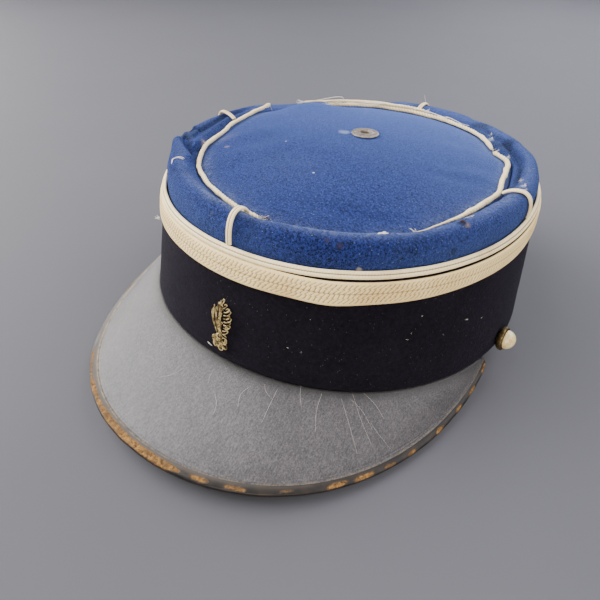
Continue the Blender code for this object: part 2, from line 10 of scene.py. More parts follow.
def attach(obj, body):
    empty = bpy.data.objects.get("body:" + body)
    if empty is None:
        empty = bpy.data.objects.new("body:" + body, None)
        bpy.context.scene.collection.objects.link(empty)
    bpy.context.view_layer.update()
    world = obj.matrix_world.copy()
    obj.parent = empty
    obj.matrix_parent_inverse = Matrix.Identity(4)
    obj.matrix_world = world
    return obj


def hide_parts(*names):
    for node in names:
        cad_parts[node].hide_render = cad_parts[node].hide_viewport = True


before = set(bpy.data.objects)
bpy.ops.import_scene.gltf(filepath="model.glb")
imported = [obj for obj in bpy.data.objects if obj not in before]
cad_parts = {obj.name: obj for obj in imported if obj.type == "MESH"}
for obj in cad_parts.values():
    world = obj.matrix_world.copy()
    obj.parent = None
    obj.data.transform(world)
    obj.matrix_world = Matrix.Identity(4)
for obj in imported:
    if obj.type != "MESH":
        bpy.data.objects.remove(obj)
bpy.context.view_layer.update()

# The band: a stiffened wall of dark felt round the head, fulled so dense that the weave is gone.
# Its rim is turned and rounded, and the whole cap leans back on it. Everything is modelled in the
# cap's own frame, rim in the plane z = 0, front at -Y, and CAP_REST then leans it as the CAD does.
CAP_REST = Matrix.Translation((0.0, 0.02019, 0.00961)) @ Matrix.Rotation(radians(-5.515), 4, "X")
RIM_LENGTH, RIM_WIDTH = 0.2000, 0.1856
CROWN_LENGTH, CROWN_WIDTH = 0.1968, 0.1710
CROWN_SET_BACK = 0.0018
SQUARENESS = 2.09
BAND_FRONT_HEIGHT, BAND_BACK_HEIGHT = 0.0390, 0.0503
BAND_WALL = 0.0022
BAND_LEAN_IN = 0.0010
CLEARANCE = 0.0003
BRAID_WIDTH = 0.0085
BRAID_BED = BRAID_WIDTH + CLEARANCE


def linear(hex_colour):
    """An sRGB hex colour as the linear colour that a shader takes."""
    made = []
    for k in (1, 3, 5):
        value = int(hex_colour[k:k + 2], 16) / 255
        made.append(value / 12.92 if value <= 0.04045 else ((value + 0.055) / 1.055) ** 2.4)
    return (*made, 1.0)


def add(graph, kind, inputs=None, **settings):
    """A node with its own settings, and its inputs by name or number: values, sockets or nodes."""
    made = graph.nodes.new(kind)
    for name, value in settings.items():
        setattr(made, name, value)
    for key, value in (inputs or {}).items():
        named = key if isinstance(key, int) else next(
            k for k, s in enumerate(made.inputs) if s.name == key and s.enabled)
        if isinstance(value, bpy.types.Node):
            value = next(s for s in value.outputs if s.enabled)
        if isinstance(value, bpy.types.NodeSocket):
            graph.links.new(value, made.inputs[named])
        else:
            made.inputs[named].default_value = value
    return made


def finish(name, **sockets):
    """A material, its graph and its shader, with the shader's fixed values set on its sockets."""
    made = bpy.data.materials.new(name)
    made.use_nodes = True
    shader = made.node_tree.nodes["Principled BSDF"]
    for key, value in sockets.items():
        shader.inputs[key.replace("_", " ")].default_value = value
    return made, made.node_tree, shader


def blend(graph, share, low, high, kind="RGBA"):
    """One colour or number turning into another as the share goes from 0 to 1."""
    return add(graph, "ShaderNodeMix", {0: share, "A": low, "B": high}, data_type=kind)


def between(graph, value, low, high, to_low=0.0, to_high=1.0):
    """A value brought from one range to another, and held inside it."""
    return add(graph, "ShaderNodeMapRange", {0: value, 1: low, 2: high, 3: to_low, 4: to_high})


def grain(graph, where, size, detail=3.0, roughness=0.6):
    """Noise with lumps about that many metres across."""
    inputs = {"Vector": where, "Scale": 0.5 / size, "Detail": detail, "Roughness": roughness}
    return add(graph, "ShaderNodeTexNoise", inputs)


def times(graph, first, second):
    """One number multiplied by another."""
    return add(graph, "ShaderNodeMath", {0: first, 1: second}, operation="MULTIPLY")


def split(graph, vector):
    """A vector's three parts."""
    return add(graph, "ShaderNodeSeparateXYZ", {0: vector})


def solid_place(graph):
    """The place in the piece's own frame, in metres."""
    return add(graph, "ShaderNodeTexCoord").outputs["Object"]


def stored(graph, label):
    """What skin() has stored under a label: the lay, or the wear, dirt and painted light."""
    return add(graph, "ShaderNodeAttribute", attribute_name=label).outputs["Vector"]


def specks(graph, where, scale, size, share):
    """Scattered dots: cells 1 / scale metres wide, and a dot in those above the share."""
    cells = add(graph, "ShaderNodeTexVoronoi", {"Vector": where, "Scale": scale})
    dot = between(graph, cells.outputs["Distance"], size / 2, size, 1.0, 0.0)
    chosen = between(graph, cells.outputs["Color"], share, share + 0.04)
    return times(graph, dot, chosen)


def painted(graph, shader, colour):
    """The colour that the shader takes."""
    graph.links.new(colour.outputs[2], shader.inputs["Base Color"])


def roughened(graph, shader, rough):
    """The roughness that the shader takes."""
    graph.links.new(rough.outputs[0], shader.inputs["Roughness"])


def raised(graph, shader, height, distance, strength=1.0, under=None):
    """Bump by a height from 0 to 1, that many metres high, over an earlier bump if there is one."""
    inputs = {"Height": height, "Distance": distance, "Strength": strength}
    if under is not None:
        inputs["Normal"] = under
    made = add(graph, "ShaderNodeBump", inputs)
    graph.links.new(made.outputs[0], shader.inputs["Normal"])
    return made


def oval(angle, half_length, half_width):
    """Points of the head's oval: angle 0 in front, a quarter turn at the wearer's left."""
    across, along = np.sin(angle), np.cos(angle)
    power = 2.0 / SQUARENESS
    x = half_width * np.sign(across) * np.abs(across) ** power
    y = -half_length * np.sign(along) * np.abs(along) ** power
    return x, y


def wall(angle, level, out=0.0):
    """Points of the band's outer face: level 0 at the rim, 1 under the braid, 2 at the top."""
    angle, level, out = np.broadcast_arrays(angle, level, out)
    low, high = np.minimum(level, 1.0), np.maximum(level - 1.0, 0.0)
    half_length = (RIM_LENGTH + (CROWN_LENGTH - RIM_LENGTH) * low) / 2 - BAND_LEAN_IN * high + out
    half_width = (RIM_WIDTH + (CROWN_WIDTH - RIM_WIDTH) * low) / 2 - BAND_LEAN_IN * high + out
    x, y = oval(angle, half_length, half_width)
    back = (1.0 + y / half_length) / 2
    rise = BAND_FRONT_HEIGHT + (BAND_BACK_HEIGHT - BAND_FRONT_HEIGHT) * back
    return np.stack([x, y + CROWN_SET_BACK * low, rise * low + BRAID_BED * high], -1)


def turns(count):
    """Even angles round the cap, with the first one again at the end."""
    return np.linspace(0.0, 2 * pi, count + 1)


def lengths(points):
    """How far each point of a line is from its start, along it."""
    steps = np.linalg.norm(np.diff(points, axis=0), axis=1)
    return np.concatenate([[0.0], np.cumsum(steps)])


def uneven(points, size, seed=0.0):
    """Smooth noise from -1 to 1 over points, with lumps about that many metres across."""
    flat = np.asarray(points).reshape(-1, 3) * (0.5 / size) + seed
    return np.array([noise.noise(p) for p in flat]).reshape(np.shape(points)[:-1])


def unit(vectors):
    """Vectors made one long."""
    return vectors / np.maximum(np.linalg.norm(vectors, axis=-1, keepdims=True), 1e-12)


def slope(points, axis, closed):
    """Differences along one axis of a grid. A closed axis ends with its first line again."""
    if not closed:
        return np.gradient(points, axis=axis)
    part = np.delete(points, -1, axis)
    moved = np.roll(part, -1, axis) - np.roll(part, 1, axis)
    return np.concatenate([moved, moved.take([0], axis)], axis)


def outward(points, closed):
    """The direction straight out of a grid of points, at each of them."""
    return unit(np.cross(slope(points, 1, closed[1]), slope(points, 0, closed[0])))


def skin(name, points, material, closed=(False, True), lay=None, wear_dirt_and_painted_light=None):
    """A mesh over a grid of points in rows. A closed axis ends with its first line again.

    lay holds lengths along and across the piece and its relief; the other holds wear, and dirt mixed with
    painted shade and highlight.
    """
    rows, count = points.shape[0] - closed[0], points.shape[1] - closed[1]
    r, c = np.meshgrid(np.arange(points.shape[0] - 1), np.arange(points.shape[1] - 1), indexing="ij")
    r, c = r.ravel(), c.ravel()
    around = ((r, c), (r, c + 1), (r + 1, c + 1), (r + 1, c))
    faces = np.stack([(i % rows) * count + j % count for i, j in around], 1)
    mesh = bpy.data.meshes.new(name)
    mesh.from_pydata(points[:rows, :count].reshape(-1, 3), [], faces)
    corners = np.stack([i * points.shape[1] + j for i, j in around], 1).ravel()
    for label, values in (("lay", lay), ("wear_dirt_and_painted_light", wear_dirt_and_painted_light)):
        if values is not None:
            kept = mesh.attributes.new(label, "FLOAT_VECTOR", "CORNER")
            laid = np.stack(np.broadcast_arrays(*values, 0.0)[:3], -1).reshape(-1, 3)[corners]
            kept.data.foreach_set("vector", laid.astype(np.float32).ravel())
    mesh.shade_smooth()
    return show(name, mesh, material)


def put(name, data):
    """An object in the scene."""
    obj = bpy.data.objects.new(name, data)
    bpy.context.scene.collection.objects.link(obj)
    return obj


def show(name, data, material):
    """An object in the cap's rest pose, with its material."""
    obj = put(name, data)
    obj.matrix_world = CAP_REST
    if material is not None:
        data.materials.append(material)
    return obj


def fit(obj, slot, *nodes):
    """Put a piece on the cap, and hide the solids that it stands for. The slot is not used."""
    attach(obj, "root")
    if nodes:
        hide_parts(*nodes)
    return obj


# Fulled wool felt, near black with a violet cast. The nap scatters light at a grazing angle, and
# the felt holds white lint. Nap lumps are 0.8 mm, and the lint is 0.25 to 0.4 mm across.
felt, graph, shader = finish("fulled_dark_felt", Roughness=0.95, IOR=1.46, Specular_IOR_Level=0.15,
                             Sheen_Weight=0.045, Sheen_Roughness=0.40, Sheen_Tint=linear("#a394bf"))
place = solid_place(graph)
nap = grain(graph, place, 0.0008, 5.0, 0.80)
cast = grain(graph, place, 0.012, 3.0)
deep = blend(graph, between(graph, nap, 0.38, 0.66), linear("#030305"), linear("#16131d"))
deep = blend(graph, between(graph, cast, 0.35, 0.75, 0.0, 0.5), deep, linear("#19141f"))
stretched = add(graph, "ShaderNodeMapping", {"Vector": place, "Scale": (1.0, 1.0, 0.45)})
few = between(graph, grain(graph, place, 0.020, 2.0), 0.42, 0.68)
few = between(graph, few, 0.0, 1.0, 0.10, 0.42)
for scale, size, share in ((210.0, 0.045, 0.80), (480.0, 0.06, 0.50), (950.0, 0.12, 0.42)):
    lint = times(graph, specks(graph, stretched, scale, size, share), few)
    deep = blend(graph, lint, deep, linear("#9f9aac"))
painted(graph, shader, deep)
raised(graph, shader, nap, 0.0005, 0.9)

FELT_EDGE = 0.0009
FELT_AROUND = 620
angles = turns(FELT_AROUND)[None, :]
profile = [(0.0, -BAND_WALL + FELT_EDGE), (0.0, -FELT_EDGE)]
rounding = [k * pi / 2 / 4 for k in range(1, 5)]
rim_rise = (BAND_FRONT_HEIGHT + BAND_BACK_HEIGHT) / 2
profile += [(FELT_EDGE * (1 - cos(t)) / rim_rise, -FELT_EDGE * (1 - sin(t))) for t in rounding]
profile += [(level, 0.0) for level in np.linspace(0.04, 0.98, 40)]
profile += [(1.0, 0.0), (1.5, 0.0), (2.0 - FELT_EDGE / BRAID_BED, 0.0)]
profile += [(2.0 - FELT_EDGE * (1 - sin(t)) / BRAID_BED, -FELT_EDGE * (1 - cos(t))) for t in rounding]
profile += [(2.0, -BAND_WALL + FELT_EDGE / 2), (2.0 - FELT_EDGE / 2 / BRAID_BED, -BAND_WALL)]
profile += [(level, -BAND_WALL) for level in (1.6, 1.2, 0.9, 0.7, 0.5, 0.3, 0.15)]
profile += [(FELT_EDGE / 2 / rim_rise, -BAND_WALL), profile[0]]
levels, outs = np.array(profile).T
points = wall(angles, levels[:, None], outs[:, None])
bump = 0.00016 * uneven(points, 0.011) + 0.00006 * uneven(points, 0.0032, 7.0)
shown = (np.clip(levels / 0.12, 0, 1) * (outs > -0.0001))[:, None]
points = points + outward(points, (True, True)) * (bump * shown)[..., None]
fit(skin("band", points, felt, (True, True)), "dark_felt", "band")

# The braid: a flat cream braid, plaited of fine silk threads in four lanes between two firm
# selvedges, and stitched round the top of the band. It has yellowed, and the hollows between its
# threads are browned as painted shade; it stands a little off the felt along its lower edge.
BRAID_THICKNESS = 0.0010
PLAIT_PITCH = 0.0018
PLAIT_LANES = 4
SELVEDGE = 0.0009
BRAID_AROUND, BRAID_ACROSS = 3060, 25

# Plaited silk, cream gone to straw. Painted shade browns the hollows of its relief, and stains come in 9 mm
# clouds.
braid_silk, graph, shader = finish("plaited_cream_silk", Roughness=0.62, IOR=1.5,
                                   Specular_IOR_Level=0.35, Sheen_Weight=0.05,
                                   Sheen_Roughness=0.4, Sheen_Tint=linear("#fff3dc"))
laid = stored(graph, "lay")
place = solid_place(graph)
relief = split(graph, laid).outputs["Z"]
threads = add(graph, "ShaderNodeMapping", {"Vector": laid, "Scale": (1.0, 1.0, 0.0)})
fibre = grain(graph, threads, 0.00028, 3.0, 0.65)
silk = blend(graph, between(graph, fibre, 0.3, 0.7), linear("#f8d488"), linear("#ffeab4"))
silk = blend(graph, between(graph, grain(graph, place, 0.009, 4.0), 0.42, 0.70, 0.0, 0.45),
             silk, linear("#c59a55"))
# Painted shade: the hollows between the threads are browned by their low relief.
silk = blend(graph, between(graph, relief, 0.10, 0.78, 1.0, 0.0), silk, linear("#5a3c18"))
painted(graph, shader, silk)
raised(graph, shader, fibre, 0.0001, 0.5)


def plait(along, across):
    """The height of the braid's threads, from 0 in the hollows to 1 on top of a thread."""
    lane = (across - SELVEDGE) / (BRAID_WIDTH - 2 * SELVEDGE) * PLAIT_LANES
    inside = np.clip(lane, 0, PLAIT_LANES - 0.001)
    slack = 0.16 * np.sin(along * 310.0 + 3.0 * inside) + 0.12 * np.sin(along * 121.0 + inside)
    phase = along / PLAIT_PITCH - (inside % 1.0 - 0.5) * 0.90 + 0.5 * np.floor(inside) + slack
    thread = np.abs(np.cos(pi * phase)) ** 0.55
    seam = np.abs(np.sin(pi * inside)) ** 0.25
    edge = 0.80 + 0.20 * np.abs(np.cos(pi * across / 0.0006))
    firm = (lane < 0) | (lane > PLAIT_LANES)
    return np.where(firm, edge, thread * (0.45 + 0.55 * seam))


def braid_edge(angle):
    """How far the braid's lower edge sags, most where it is kinked left of the front."""
    degrees = np.degrees(angle)
    return 0.0011 * np.exp(-((degrees - 27.0) / 8.0) ** 2) + 0.00020 * np.sin(angle * 9 + 1.0)


angles = turns(BRAID_AROUND)
share = np.linspace(0.0, 1.0, BRAID_ACROSS)[:, None]
ring = lengths(wall(angles, 1.5))
along, across = np.broadcast_arrays(ring[None, :], share * BRAID_WIDTH)
height = plait(along, across)
sag = braid_edge(angles)[None, :] * (1 - share)
# Left of the front the top selvedge stands away from the cord above it. Elsewhere it meets it.
open_slit = np.clip(np.sin(np.radians(np.degrees(angles) - 12.0)) * 4, 0, 1)[None, :]
slipped = (0.00045 * open_slit - 0.00035 * (1 - open_slit)) * share ** 6
dome = 1.0 - 0.30 * np.abs(2 * share - 1) ** 5
lift = CLEARANCE + BRAID_THICKNESS * dome * (0.74 + 0.26 * height)
lift = lift + 0.00040 * np.exp(-((np.degrees(angles)[None, :] - 27.0) / 6.0) ** 2) * (1 - share)
lift = lift - 0.00075 * (1 - open_slit) * share ** 10
top_level = 1.0 + BRAID_WIDTH / BRAID_BED
level = 1.0 + (top_level - 1.0) * share - (sag + slipped) / BRAID_BED
level = np.where(level < 1.0, 1.0 - (1.0 - level) * BRAID_BED / rim_rise, level)
front = wall(angles[None, :], level, lift)
back_rows = [wall(angles, level[k], CLEARANCE) for k in (-1, 0)]
points = np.concatenate([front, np.stack(back_rows), front[:1]])
lay = [np.concatenate([grid, np.full((2, grid.shape[1]), behind), grid[:1]])
       for grid, behind in ((along, 0.0), (across, 0.0), (height, 0.6))]
fit(skin("braid", points, braid_silk, (True, True), lay), "cream_braid", "braid")

# The upper cord: a double cord, two twisted silk cords side by side with a groove between them.
# It lies along the top of the braid, its upper cord pressed back by the blue cloth.
UPPER_CORD_WIDTH, UPPER_CORD_THICKNESS = 0.0030, 0.0015
UPPER_CORD_AROUND = 1500
CORD_TWIST = 0.0011
ROLL_BULGE = 0.0007

# Twisted silk, a paler cream than the braid because the twist sheds dirt. The groove and the hollows between
# the plies are browned with painted shade.
cord_silk, graph, shader = finish("twisted_cream_silk", Roughness=0.60, IOR=1.5,
                                  Specular_IOR_Level=0.35, Sheen_Weight=0.12,
                                  Sheen_Roughness=0.4, Sheen_Tint=linear("#fff3dc"))
laid = stored(graph, "lay")
place = solid_place(graph)
relief = split(graph, laid).outputs["Z"]
fibre = grain(graph, place, 0.00025, 3.0, 0.65)
silk = blend(graph, between(graph, fibre, 0.3, 0.7), linear("#f0d698"), linear("#fff0c8"))
silk = blend(graph, between(graph, grain(graph, place, 0.006, 4.0), 0.48, 0.75, 0.0, 0.45),
             silk, linear("#b39668"))
# Painted shade: brown where the relief is low, in the groove and between the plies.
silk = blend(graph, between(graph, relief, 0.05, 0.60, 1.0, 0.0), silk, linear("#4f3a20"))
painted(graph, shader, silk)
raised(graph, shader, fibre, 0.0001, 0.5)


def tube(middle, wide, out, side, rise):
    """Points round a line, that far sideways and outwards of it."""
    return middle[None] + wide[None] * side[..., None] + out[None] * rise[..., None]


def double_cord(middle, wide, out, width, thickness, sides=24):
    """A double cord along a line: its section's points, its lengths and its relief."""
    turn = np.linspace(0.0, 2 * pi, sides + 1)[:, None]
    run = lengths(middle)[None, :]
    groove = np.exp(-(np.cos(turn) / 0.17) ** 2)
    ply = 0.5 + 0.5 * np.cos(2 * pi * run / CORD_TWIST * 2 + np.sign(np.cos(turn)) * turn * 2)
    body = 1.0 - 0.42 * groove
    half = thickness / 2 * (np.abs(np.sin(turn)) ** 0.8) * np.sign(np.sin(turn))
    side = width / 2 * np.cos(turn) * np.ones_like(run)
    rise = half * body * (0.93 + 0.07 * ply)
    relief = (1.0 - 0.95 * groove) * (0.55 + 0.45 * ply)
    lay = (run + 0 * turn, turn * thickness / 2 + 0 * run, relief)
    return tube(middle, wide, out, side, rise), lay


def cap_ends(obj):
    """Close the open ends of a tube."""
    form = bmesh.new()
    form.from_mesh(obj.data)
    bmesh.ops.holes_fill(form, edges=[e for e in form.edges if e.is_boundary], sides=0)
    form.to_mesh(obj.data)
    form.free()
    return obj


def foot(angle):
    """Where the turban leaves the band, level with its top edge."""
    return wall(angle, 2.0, -(BAND_WALL + CLEARANCE))


angles = turns(UPPER_CORD_AROUND)
root = foot(angles)
out = root - np.array([0.0, CROWN_SET_BACK, 0.0])
out[:, 2] = 0.0
out = unit(out)
up = np.zeros_like(out)
up[:, 2] = 1.0
inset = CLEARANCE + ROLL_BULGE + UPPER_CORD_THICKNESS * 0.62
middle = root + out * inset + up * (UPPER_CORD_WIDTH * 0.46)
middle = middle + out * (0.00012 * uneven(middle, 0.006, 3.0))[:, None]
points, lay = double_cord(middle, unit(up * 1.3 - out), unit(out * 1.3 + up), UPPER_CORD_WIDTH,
                          UPPER_CORD_THICKNESS)
fit(skin("upper_soutache", points, cord_silk, (True, True), lay), "cream_cord", "upper_soutache")

# The turban: the royal-blue wool side of the crown. It comes out from behind the band, swells
# over in a soft unstuffed roll and runs down to the top seam. It is pinched at the right front,
# worn pale along its crest, and darkened in its folds and at its foot by dirt and painted shade.
TURBAN_WALL, TURBAN_LAP = 0.0020, 0.0070
ROLL_FRONT_RISE, ROLL_BACK_RISE = 0.0139, 0.0100
SEAM_LENGTH, SEAM_WIDTH = 0.1590, 0.1418
SEAM_SET_FORWARD = 0.0015
SEAM_ALLOWANCE = 0.0026
SEAM_VALLEY = 0.39
SHOULDER_FULLNESS = 0.86
TURBAN_AROUND, ROWS_TO_CREST, ROWS_TO_SEAM = 830, 28, 44
ROLL_FORM = np.array((
    # angle, crest_in, crest_up, valley, seam_in
    (-180.0, 0.50, 1.00, 0.40, 0.00),
    (-164.0, 0.50, 0.92, 0.34, 0.00),
    (-150.0, 0.50, 0.68, 0.10, 0.00),
    (-128.0, 0.44, 0.64, 0.04, 0.00),
    (-112.0, 0.36, 0.72, 0.06, -0.01),
    (-98.0, 0.28, 0.94, 0.20, -0.01),
    (-84.0, 0.22, 0.98, 0.34, 0.00),
    (-73.0, 0.18, 0.98, 0.44, 0.01),
    (-65.0, 0.20, 1.12, 0.50, 0.01),
    (-56.0, 0.30, 1.10, 0.42, 0.01),
    (-42.0, 0.40, 1.02, 0.38, 0.00),
    (-20.0, 0.44, 1.00, 0.34, -0.01),
    (0.0, 0.46, 1.00, 0.38, -0.035),
    (14.0, 0.48, 0.97, 0.56, -0.04),
    (32.0, 0.50, 0.93, 0.60, -0.03),
    (48.0, 0.50, 0.95, 0.48, -0.03),
    (64.0, 0.46, 1.00, 0.38, -0.01),
    (80.0, 0.44, 1.00, 0.34, 0.00),
    (94.0, 0.40, 1.00, 0.44, 0.00),
    (108.0, 0.38, 1.00, 0.50, -0.01),
    (118.0, 0.38, 1.00, 0.50, -0.03),
    (127.0, 0.40, 1.00, 0.46, 0.02),
    (146.0, 0.46, 1.00, 0.42, 0.00),
))
FOLDS = (
    # Creases and ridges: height and half width in metres, then angle and along of their points
    (-0.0044, 0.0023, ((-59.0, 0.95), (-52.0, 1.22), (-46.0, 1.50), (-43.5, 1.72))),
    (0.0020, 0.0032, ((-53.0, 0.80), (-46.0, 1.15), (-40.0, 1.42), (-37.0, 1.60))),
    (0.0016, 0.0048, ((-56.0, 0.85), (-52.0, 1.08))),
    (-0.0024, 0.0055, ((-61.0, 0.90), (-68.0, 1.02))),
    (-0.0022, 0.0016, ((-56.0, 1.32), (-69.0, 1.30), (-84.0, 1.12), (-98.0, 1.10))),
    (0.0013, 0.0022, ((-50.0, 1.44), (-56.0, 1.64), (-64.0, 1.86))),
    (-0.0016, 0.0017, ((-46.0, 1.55), (-51.0, 1.78), (-57.0, 1.92))),
    (-0.0008, 0.0030, ((-72.0, 1.62), (-88.0, 1.60), (-104.0, 1.60))),
    (-0.0006, 0.0040, ((-33.0, 0.55), (-30.0, 0.95), (-26.0, 1.35))),
    (-0.0008, 0.0030, ((-16.0, 1.72), (-8.0, 1.60), (0.0, 1.72))),
    (-0.0007, 0.0045, ((6.0, 0.25), (5.0, 0.75), (9.0, 1.15))),
    (0.0006, 0.0040, ((12.0, 1.30), (28.0, 1.38), (44.0, 1.25))),
    (-0.0006, 0.0040, ((42.0, 0.30), (47.0, 0.80), (50.0, 1.20))),
    (0.0005, 0.0040, ((70.0, 0.50), (75.0, 1.00), (74.0, 1.50))),
    (-0.0012, 0.0022, ((80.0, 1.80), (88.0, 1.72), (94.0, 1.78))),
    (-0.0026, 0.0019, ((92.0, 1.50), (103.0, 1.52), (114.0, 1.48), (126.0, 1.34), (140.0, 1.24))),
    (0.0009, 0.0026, ((96.0, 1.18), (110.0, 1.16), (124.0, 1.06), (138.0, 0.96))),
    (0.0009, 0.0020, ((100.0, 1.80), (112.0, 1.78), (122.0, 1.70))),
    (-0.0012, 0.0018, ((133.0, 1.62), (139.0, 1.42), (147.0, 1.30))),
    (-0.0007, 0.0050, ((155.0, 0.30), (160.0, 0.90))),
    (-0.0007, 0.0050, ((196.0, 0.30), (199.0, 1.10))),
    (0.0006, 0.0060, ((222.0, 0.60), (240.0, 0.80))),
)


def bridge(u, start, end, start_slope, end_slope):
    """A smooth curve from start to end as u goes from 0 to 1."""
    curve = start * (2 * u ** 3 - 3 * u ** 2 + 1) + start_slope * (u ** 3 - 2 * u ** 2 + u)
    return curve + end * (3 * u ** 2 - 2 * u ** 3) + end_slope * (u ** 3 - u ** 2)


def roll_form(angle):
    """The roll's form at angles: a smooth curve through the rows of the table."""
    count = len(ROLL_FORM)
    degrees = (np.degrees(angle) + 180.0) % 360.0 - 180.0
    k = np.searchsorted(ROLL_FORM[:, 0], degrees, side="right") - 1
    picks = [k + step for step in (-1, 0, 1, 2)]
    a0, a1, a2, a3 = (ROLL_FORM[i % count, 0] + 360.0 * np.floor_divide(i, count) for i in picks)
    r0, r1, r2, r3 = (ROLL_FORM[i % count, 1:] for i in picks)
    span = a2 - a1
    u = ((degrees - a1) / span)[..., None]
    slope_1 = (r2 - r0) * (span / (a2 - a0))[..., None]
    slope_2 = (r3 - r1) * (span / (a3 - a1))[..., None]
    form = bridge(u, r1, r2, slope_1, slope_2)
    return [form[..., c] for c in range(4)]


def roll_rise(root):
    """The height of the roll's crest above the band's top edge."""
    share = (root[..., 2] - BAND_FRONT_HEIGHT - BRAID_BED) / (BAND_BACK_HEIGHT - BAND_FRONT_HEIGHT)
    return ROLL_FRONT_RISE + (ROLL_BACK_RISE - ROLL_FRONT_RISE) * share


def seam(angle):
    """Points of the seam between the turban and the top."""
    _, crest_up, valley, seam_in = roll_form(angle)
    root = foot(angle)
    x = SEAM_WIDTH / 2 * np.sin(angle) * (1.0 - seam_in)
    y = -SEAM_LENGTH / 2 * np.cos(angle) * (1.0 - seam_in) - SEAM_SET_FORWARD
    return np.stack([x, y, root[..., 2] + roll_rise(root) * crest_up * (1.0 - valley)], -1)


def roll(angle, along):
    """Points of the roll's outer face: along is 0 at the foot, 1 at the crest, 2 at the seam."""
    angle, along = np.broadcast_arrays(angle, along)
    crest_in, crest_up, valley, _ = roll_form(angle)
    root, end = foot(angle), seam(angle)
    inwards = (end - root) * np.array([1.0, 1.0, 0.0])
    top = roll_rise(root) * crest_up
    rise = np.clip(along, 0, 1) * pi / 2
    fall = np.clip(along - 1, 0, 1) * pi / 2
    going_up = along <= 1.0
    way_in = np.where(going_up, crest_in * (1 - np.maximum(np.cos(rise), 0.0) ** SHOULDER_FULLNESS),
                      crest_in + (1 - crest_in) * np.sin(fall))
    height = np.where(going_up, top * np.sin(rise) ** SHOULDER_FULLNESS,
                      top * (1.0 - valley * (1.0 - np.cos(fall))))
    out = np.where(going_up, ROLL_BULGE * np.sin(pi * np.clip(along, 0, 1)), 0.0)
    point = root + inwards * way_in[..., None] - unit(inwards) * out[..., None]
    point[..., 2] = root[..., 2] + height
    return point


def apart(angle, middle):
    """Degrees from an angle in the middle, the short way round."""
    return (np.degrees(angle) - middle + 180.0) % 360.0 - 180.0


def crease(points, line, half_width):
    """How deep in a crease points lie: 1 on its line, 0 away from it and past its ends."""
    line = np.asarray(line)
    deepest = np.zeros(points.shape[:-1])
    far = lengths(line)
    for k in range(len(line) - 1):
        way = line[k + 1] - line[k]
        share = np.clip(((points - line[k]) @ way) / (way @ way), 0, 1)
        away = np.linalg.norm(points - line[k] - share[..., None] * way, axis=-1)
        run = (far[k] + share * (far[k + 1] - far[k])) / far[-1]
        ends = np.clip(np.minimum(run, 1 - run) / 0.22 + 0.25, 0, 1)
        deepest = np.maximum(deepest, np.exp(-(away / half_width) ** 2) * ends)
    return deepest


def folds(points):
    """The height of the cloth's folds and dents over points of the roll."""
    height = 0.0
    for rise, half_width, knots in FOLDS:
        line = roll(*np.radians(np.array(knots)).T * np.array([[1.0], [180.0 / pi]]))
        height = height + rise * crease(points, line, half_width)
    return height


# Fulled royal-blue wool. Its nap is 0.4 mm and dark between the fibre ends, the dye is cloudy, it is
# painted lighter towards the back as the sheen of the light from behind, the crest is worn to pale
# pile, lint sits in the folds, and dirt and painted shade darken the folds and the foot of the roll.
def wool(name, spots, painted_back_light):
    """The cloth with its spots: place, radius, depth and hex colour, and how much lighter it is painted
    towards the back.
    """
    made, graph, shader = finish(name, Roughness=0.92, IOR=1.46, Specular_IOR_Level=0.15,
                                 Sheen_Weight=0.40, Sheen_Roughness=0.34,
                                 Sheen_Tint=linear("#86a6f6"))
    place = solid_place(graph)
    wear_dirt_and_painted_light = split(graph, stored(graph, "wear_dirt_and_painted_light"))
    nap = grain(graph, place, 0.00044, 5.0, 0.95)
    cloud = grain(graph, place, 0.010, 4.0)
    blue = blend(graph, between(graph, nap, 0.45, 0.57), linear("#020310"), linear("#31438f"))
    blue = blend(graph, between(graph, cloud, 0.35, 0.7, 0.0, 0.35), blue, linear("#232f6a"))
    far_back = split(graph, place).outputs["Y"]
    # Painted light: lighter towards the back, for the sheen that the light from behind gives the nap.
    blue = blend(graph, between(graph, far_back, -0.03, 0.075, 0.0, painted_back_light), blue, linear("#6680c8"))
    pile = between(graph, grain(graph, place, 0.0008, 4.0, 0.85), 0.42, 0.60)
    blue = blend(graph, times(graph, wear_dirt_and_painted_light.outputs["X"], pile), blue, linear("#8f97ad"))
    # Painted shade with dirt: near black where the folds, the foot and dirty patches are marked.
    grime_and_painted_shade = between(graph, grain(graph, place, 0.0022, 5.0, 0.75), 0.36, 0.60, 0.25, 1.0)
    blue = blend(graph, times(graph, wear_dirt_and_painted_light.outputs["Y"], grime_and_painted_shade), blue, linear("#090a10"))
    dusty = between(graph, cloud, 0.40, 0.62, 0.12, 0.7)
    for scale, size, share in ((420.0, 0.08, 0.86), (1100.0, 0.22, 0.70)):
        lint = times(graph, specks(graph, place, scale, size, share), dusty)
        blue = blend(graph, lint, blue, linear("#aab5cf"))
    ragged = grain(graph, place, 0.0011, 4.0, 0.7)
    for spot, radius, depth, colour in spots:
        away = add(graph, "ShaderNodeVectorMath", {0: place, 1: spot}, operation="DISTANCE")
        away = add(graph, "ShaderNodeMath", {0: away.outputs["Value"], 1: radius}, operation="DIVIDE")
        away = add(graph, "ShaderNodeMath", {0: ragged, 1: 1.6, 2: away}, operation="MULTIPLY_ADD")
        mask = between(graph, away, 1.35, 2.1, depth, 0.0)
        blue = blend(graph, mask, blue, linear(colour))
    painted(graph, shader, blue)
    raised(graph, shader, nap, 0.0008, 1.0)
    return made


def spot_on_roll(degrees, along, lift=0.0):
    """A point of the roll's face, or that far above it."""
    spot = roll(np.array(radians(degrees)), np.array(along)) + np.array([0.0, 0.0, lift])
    return tuple(float(v) for v in spot)


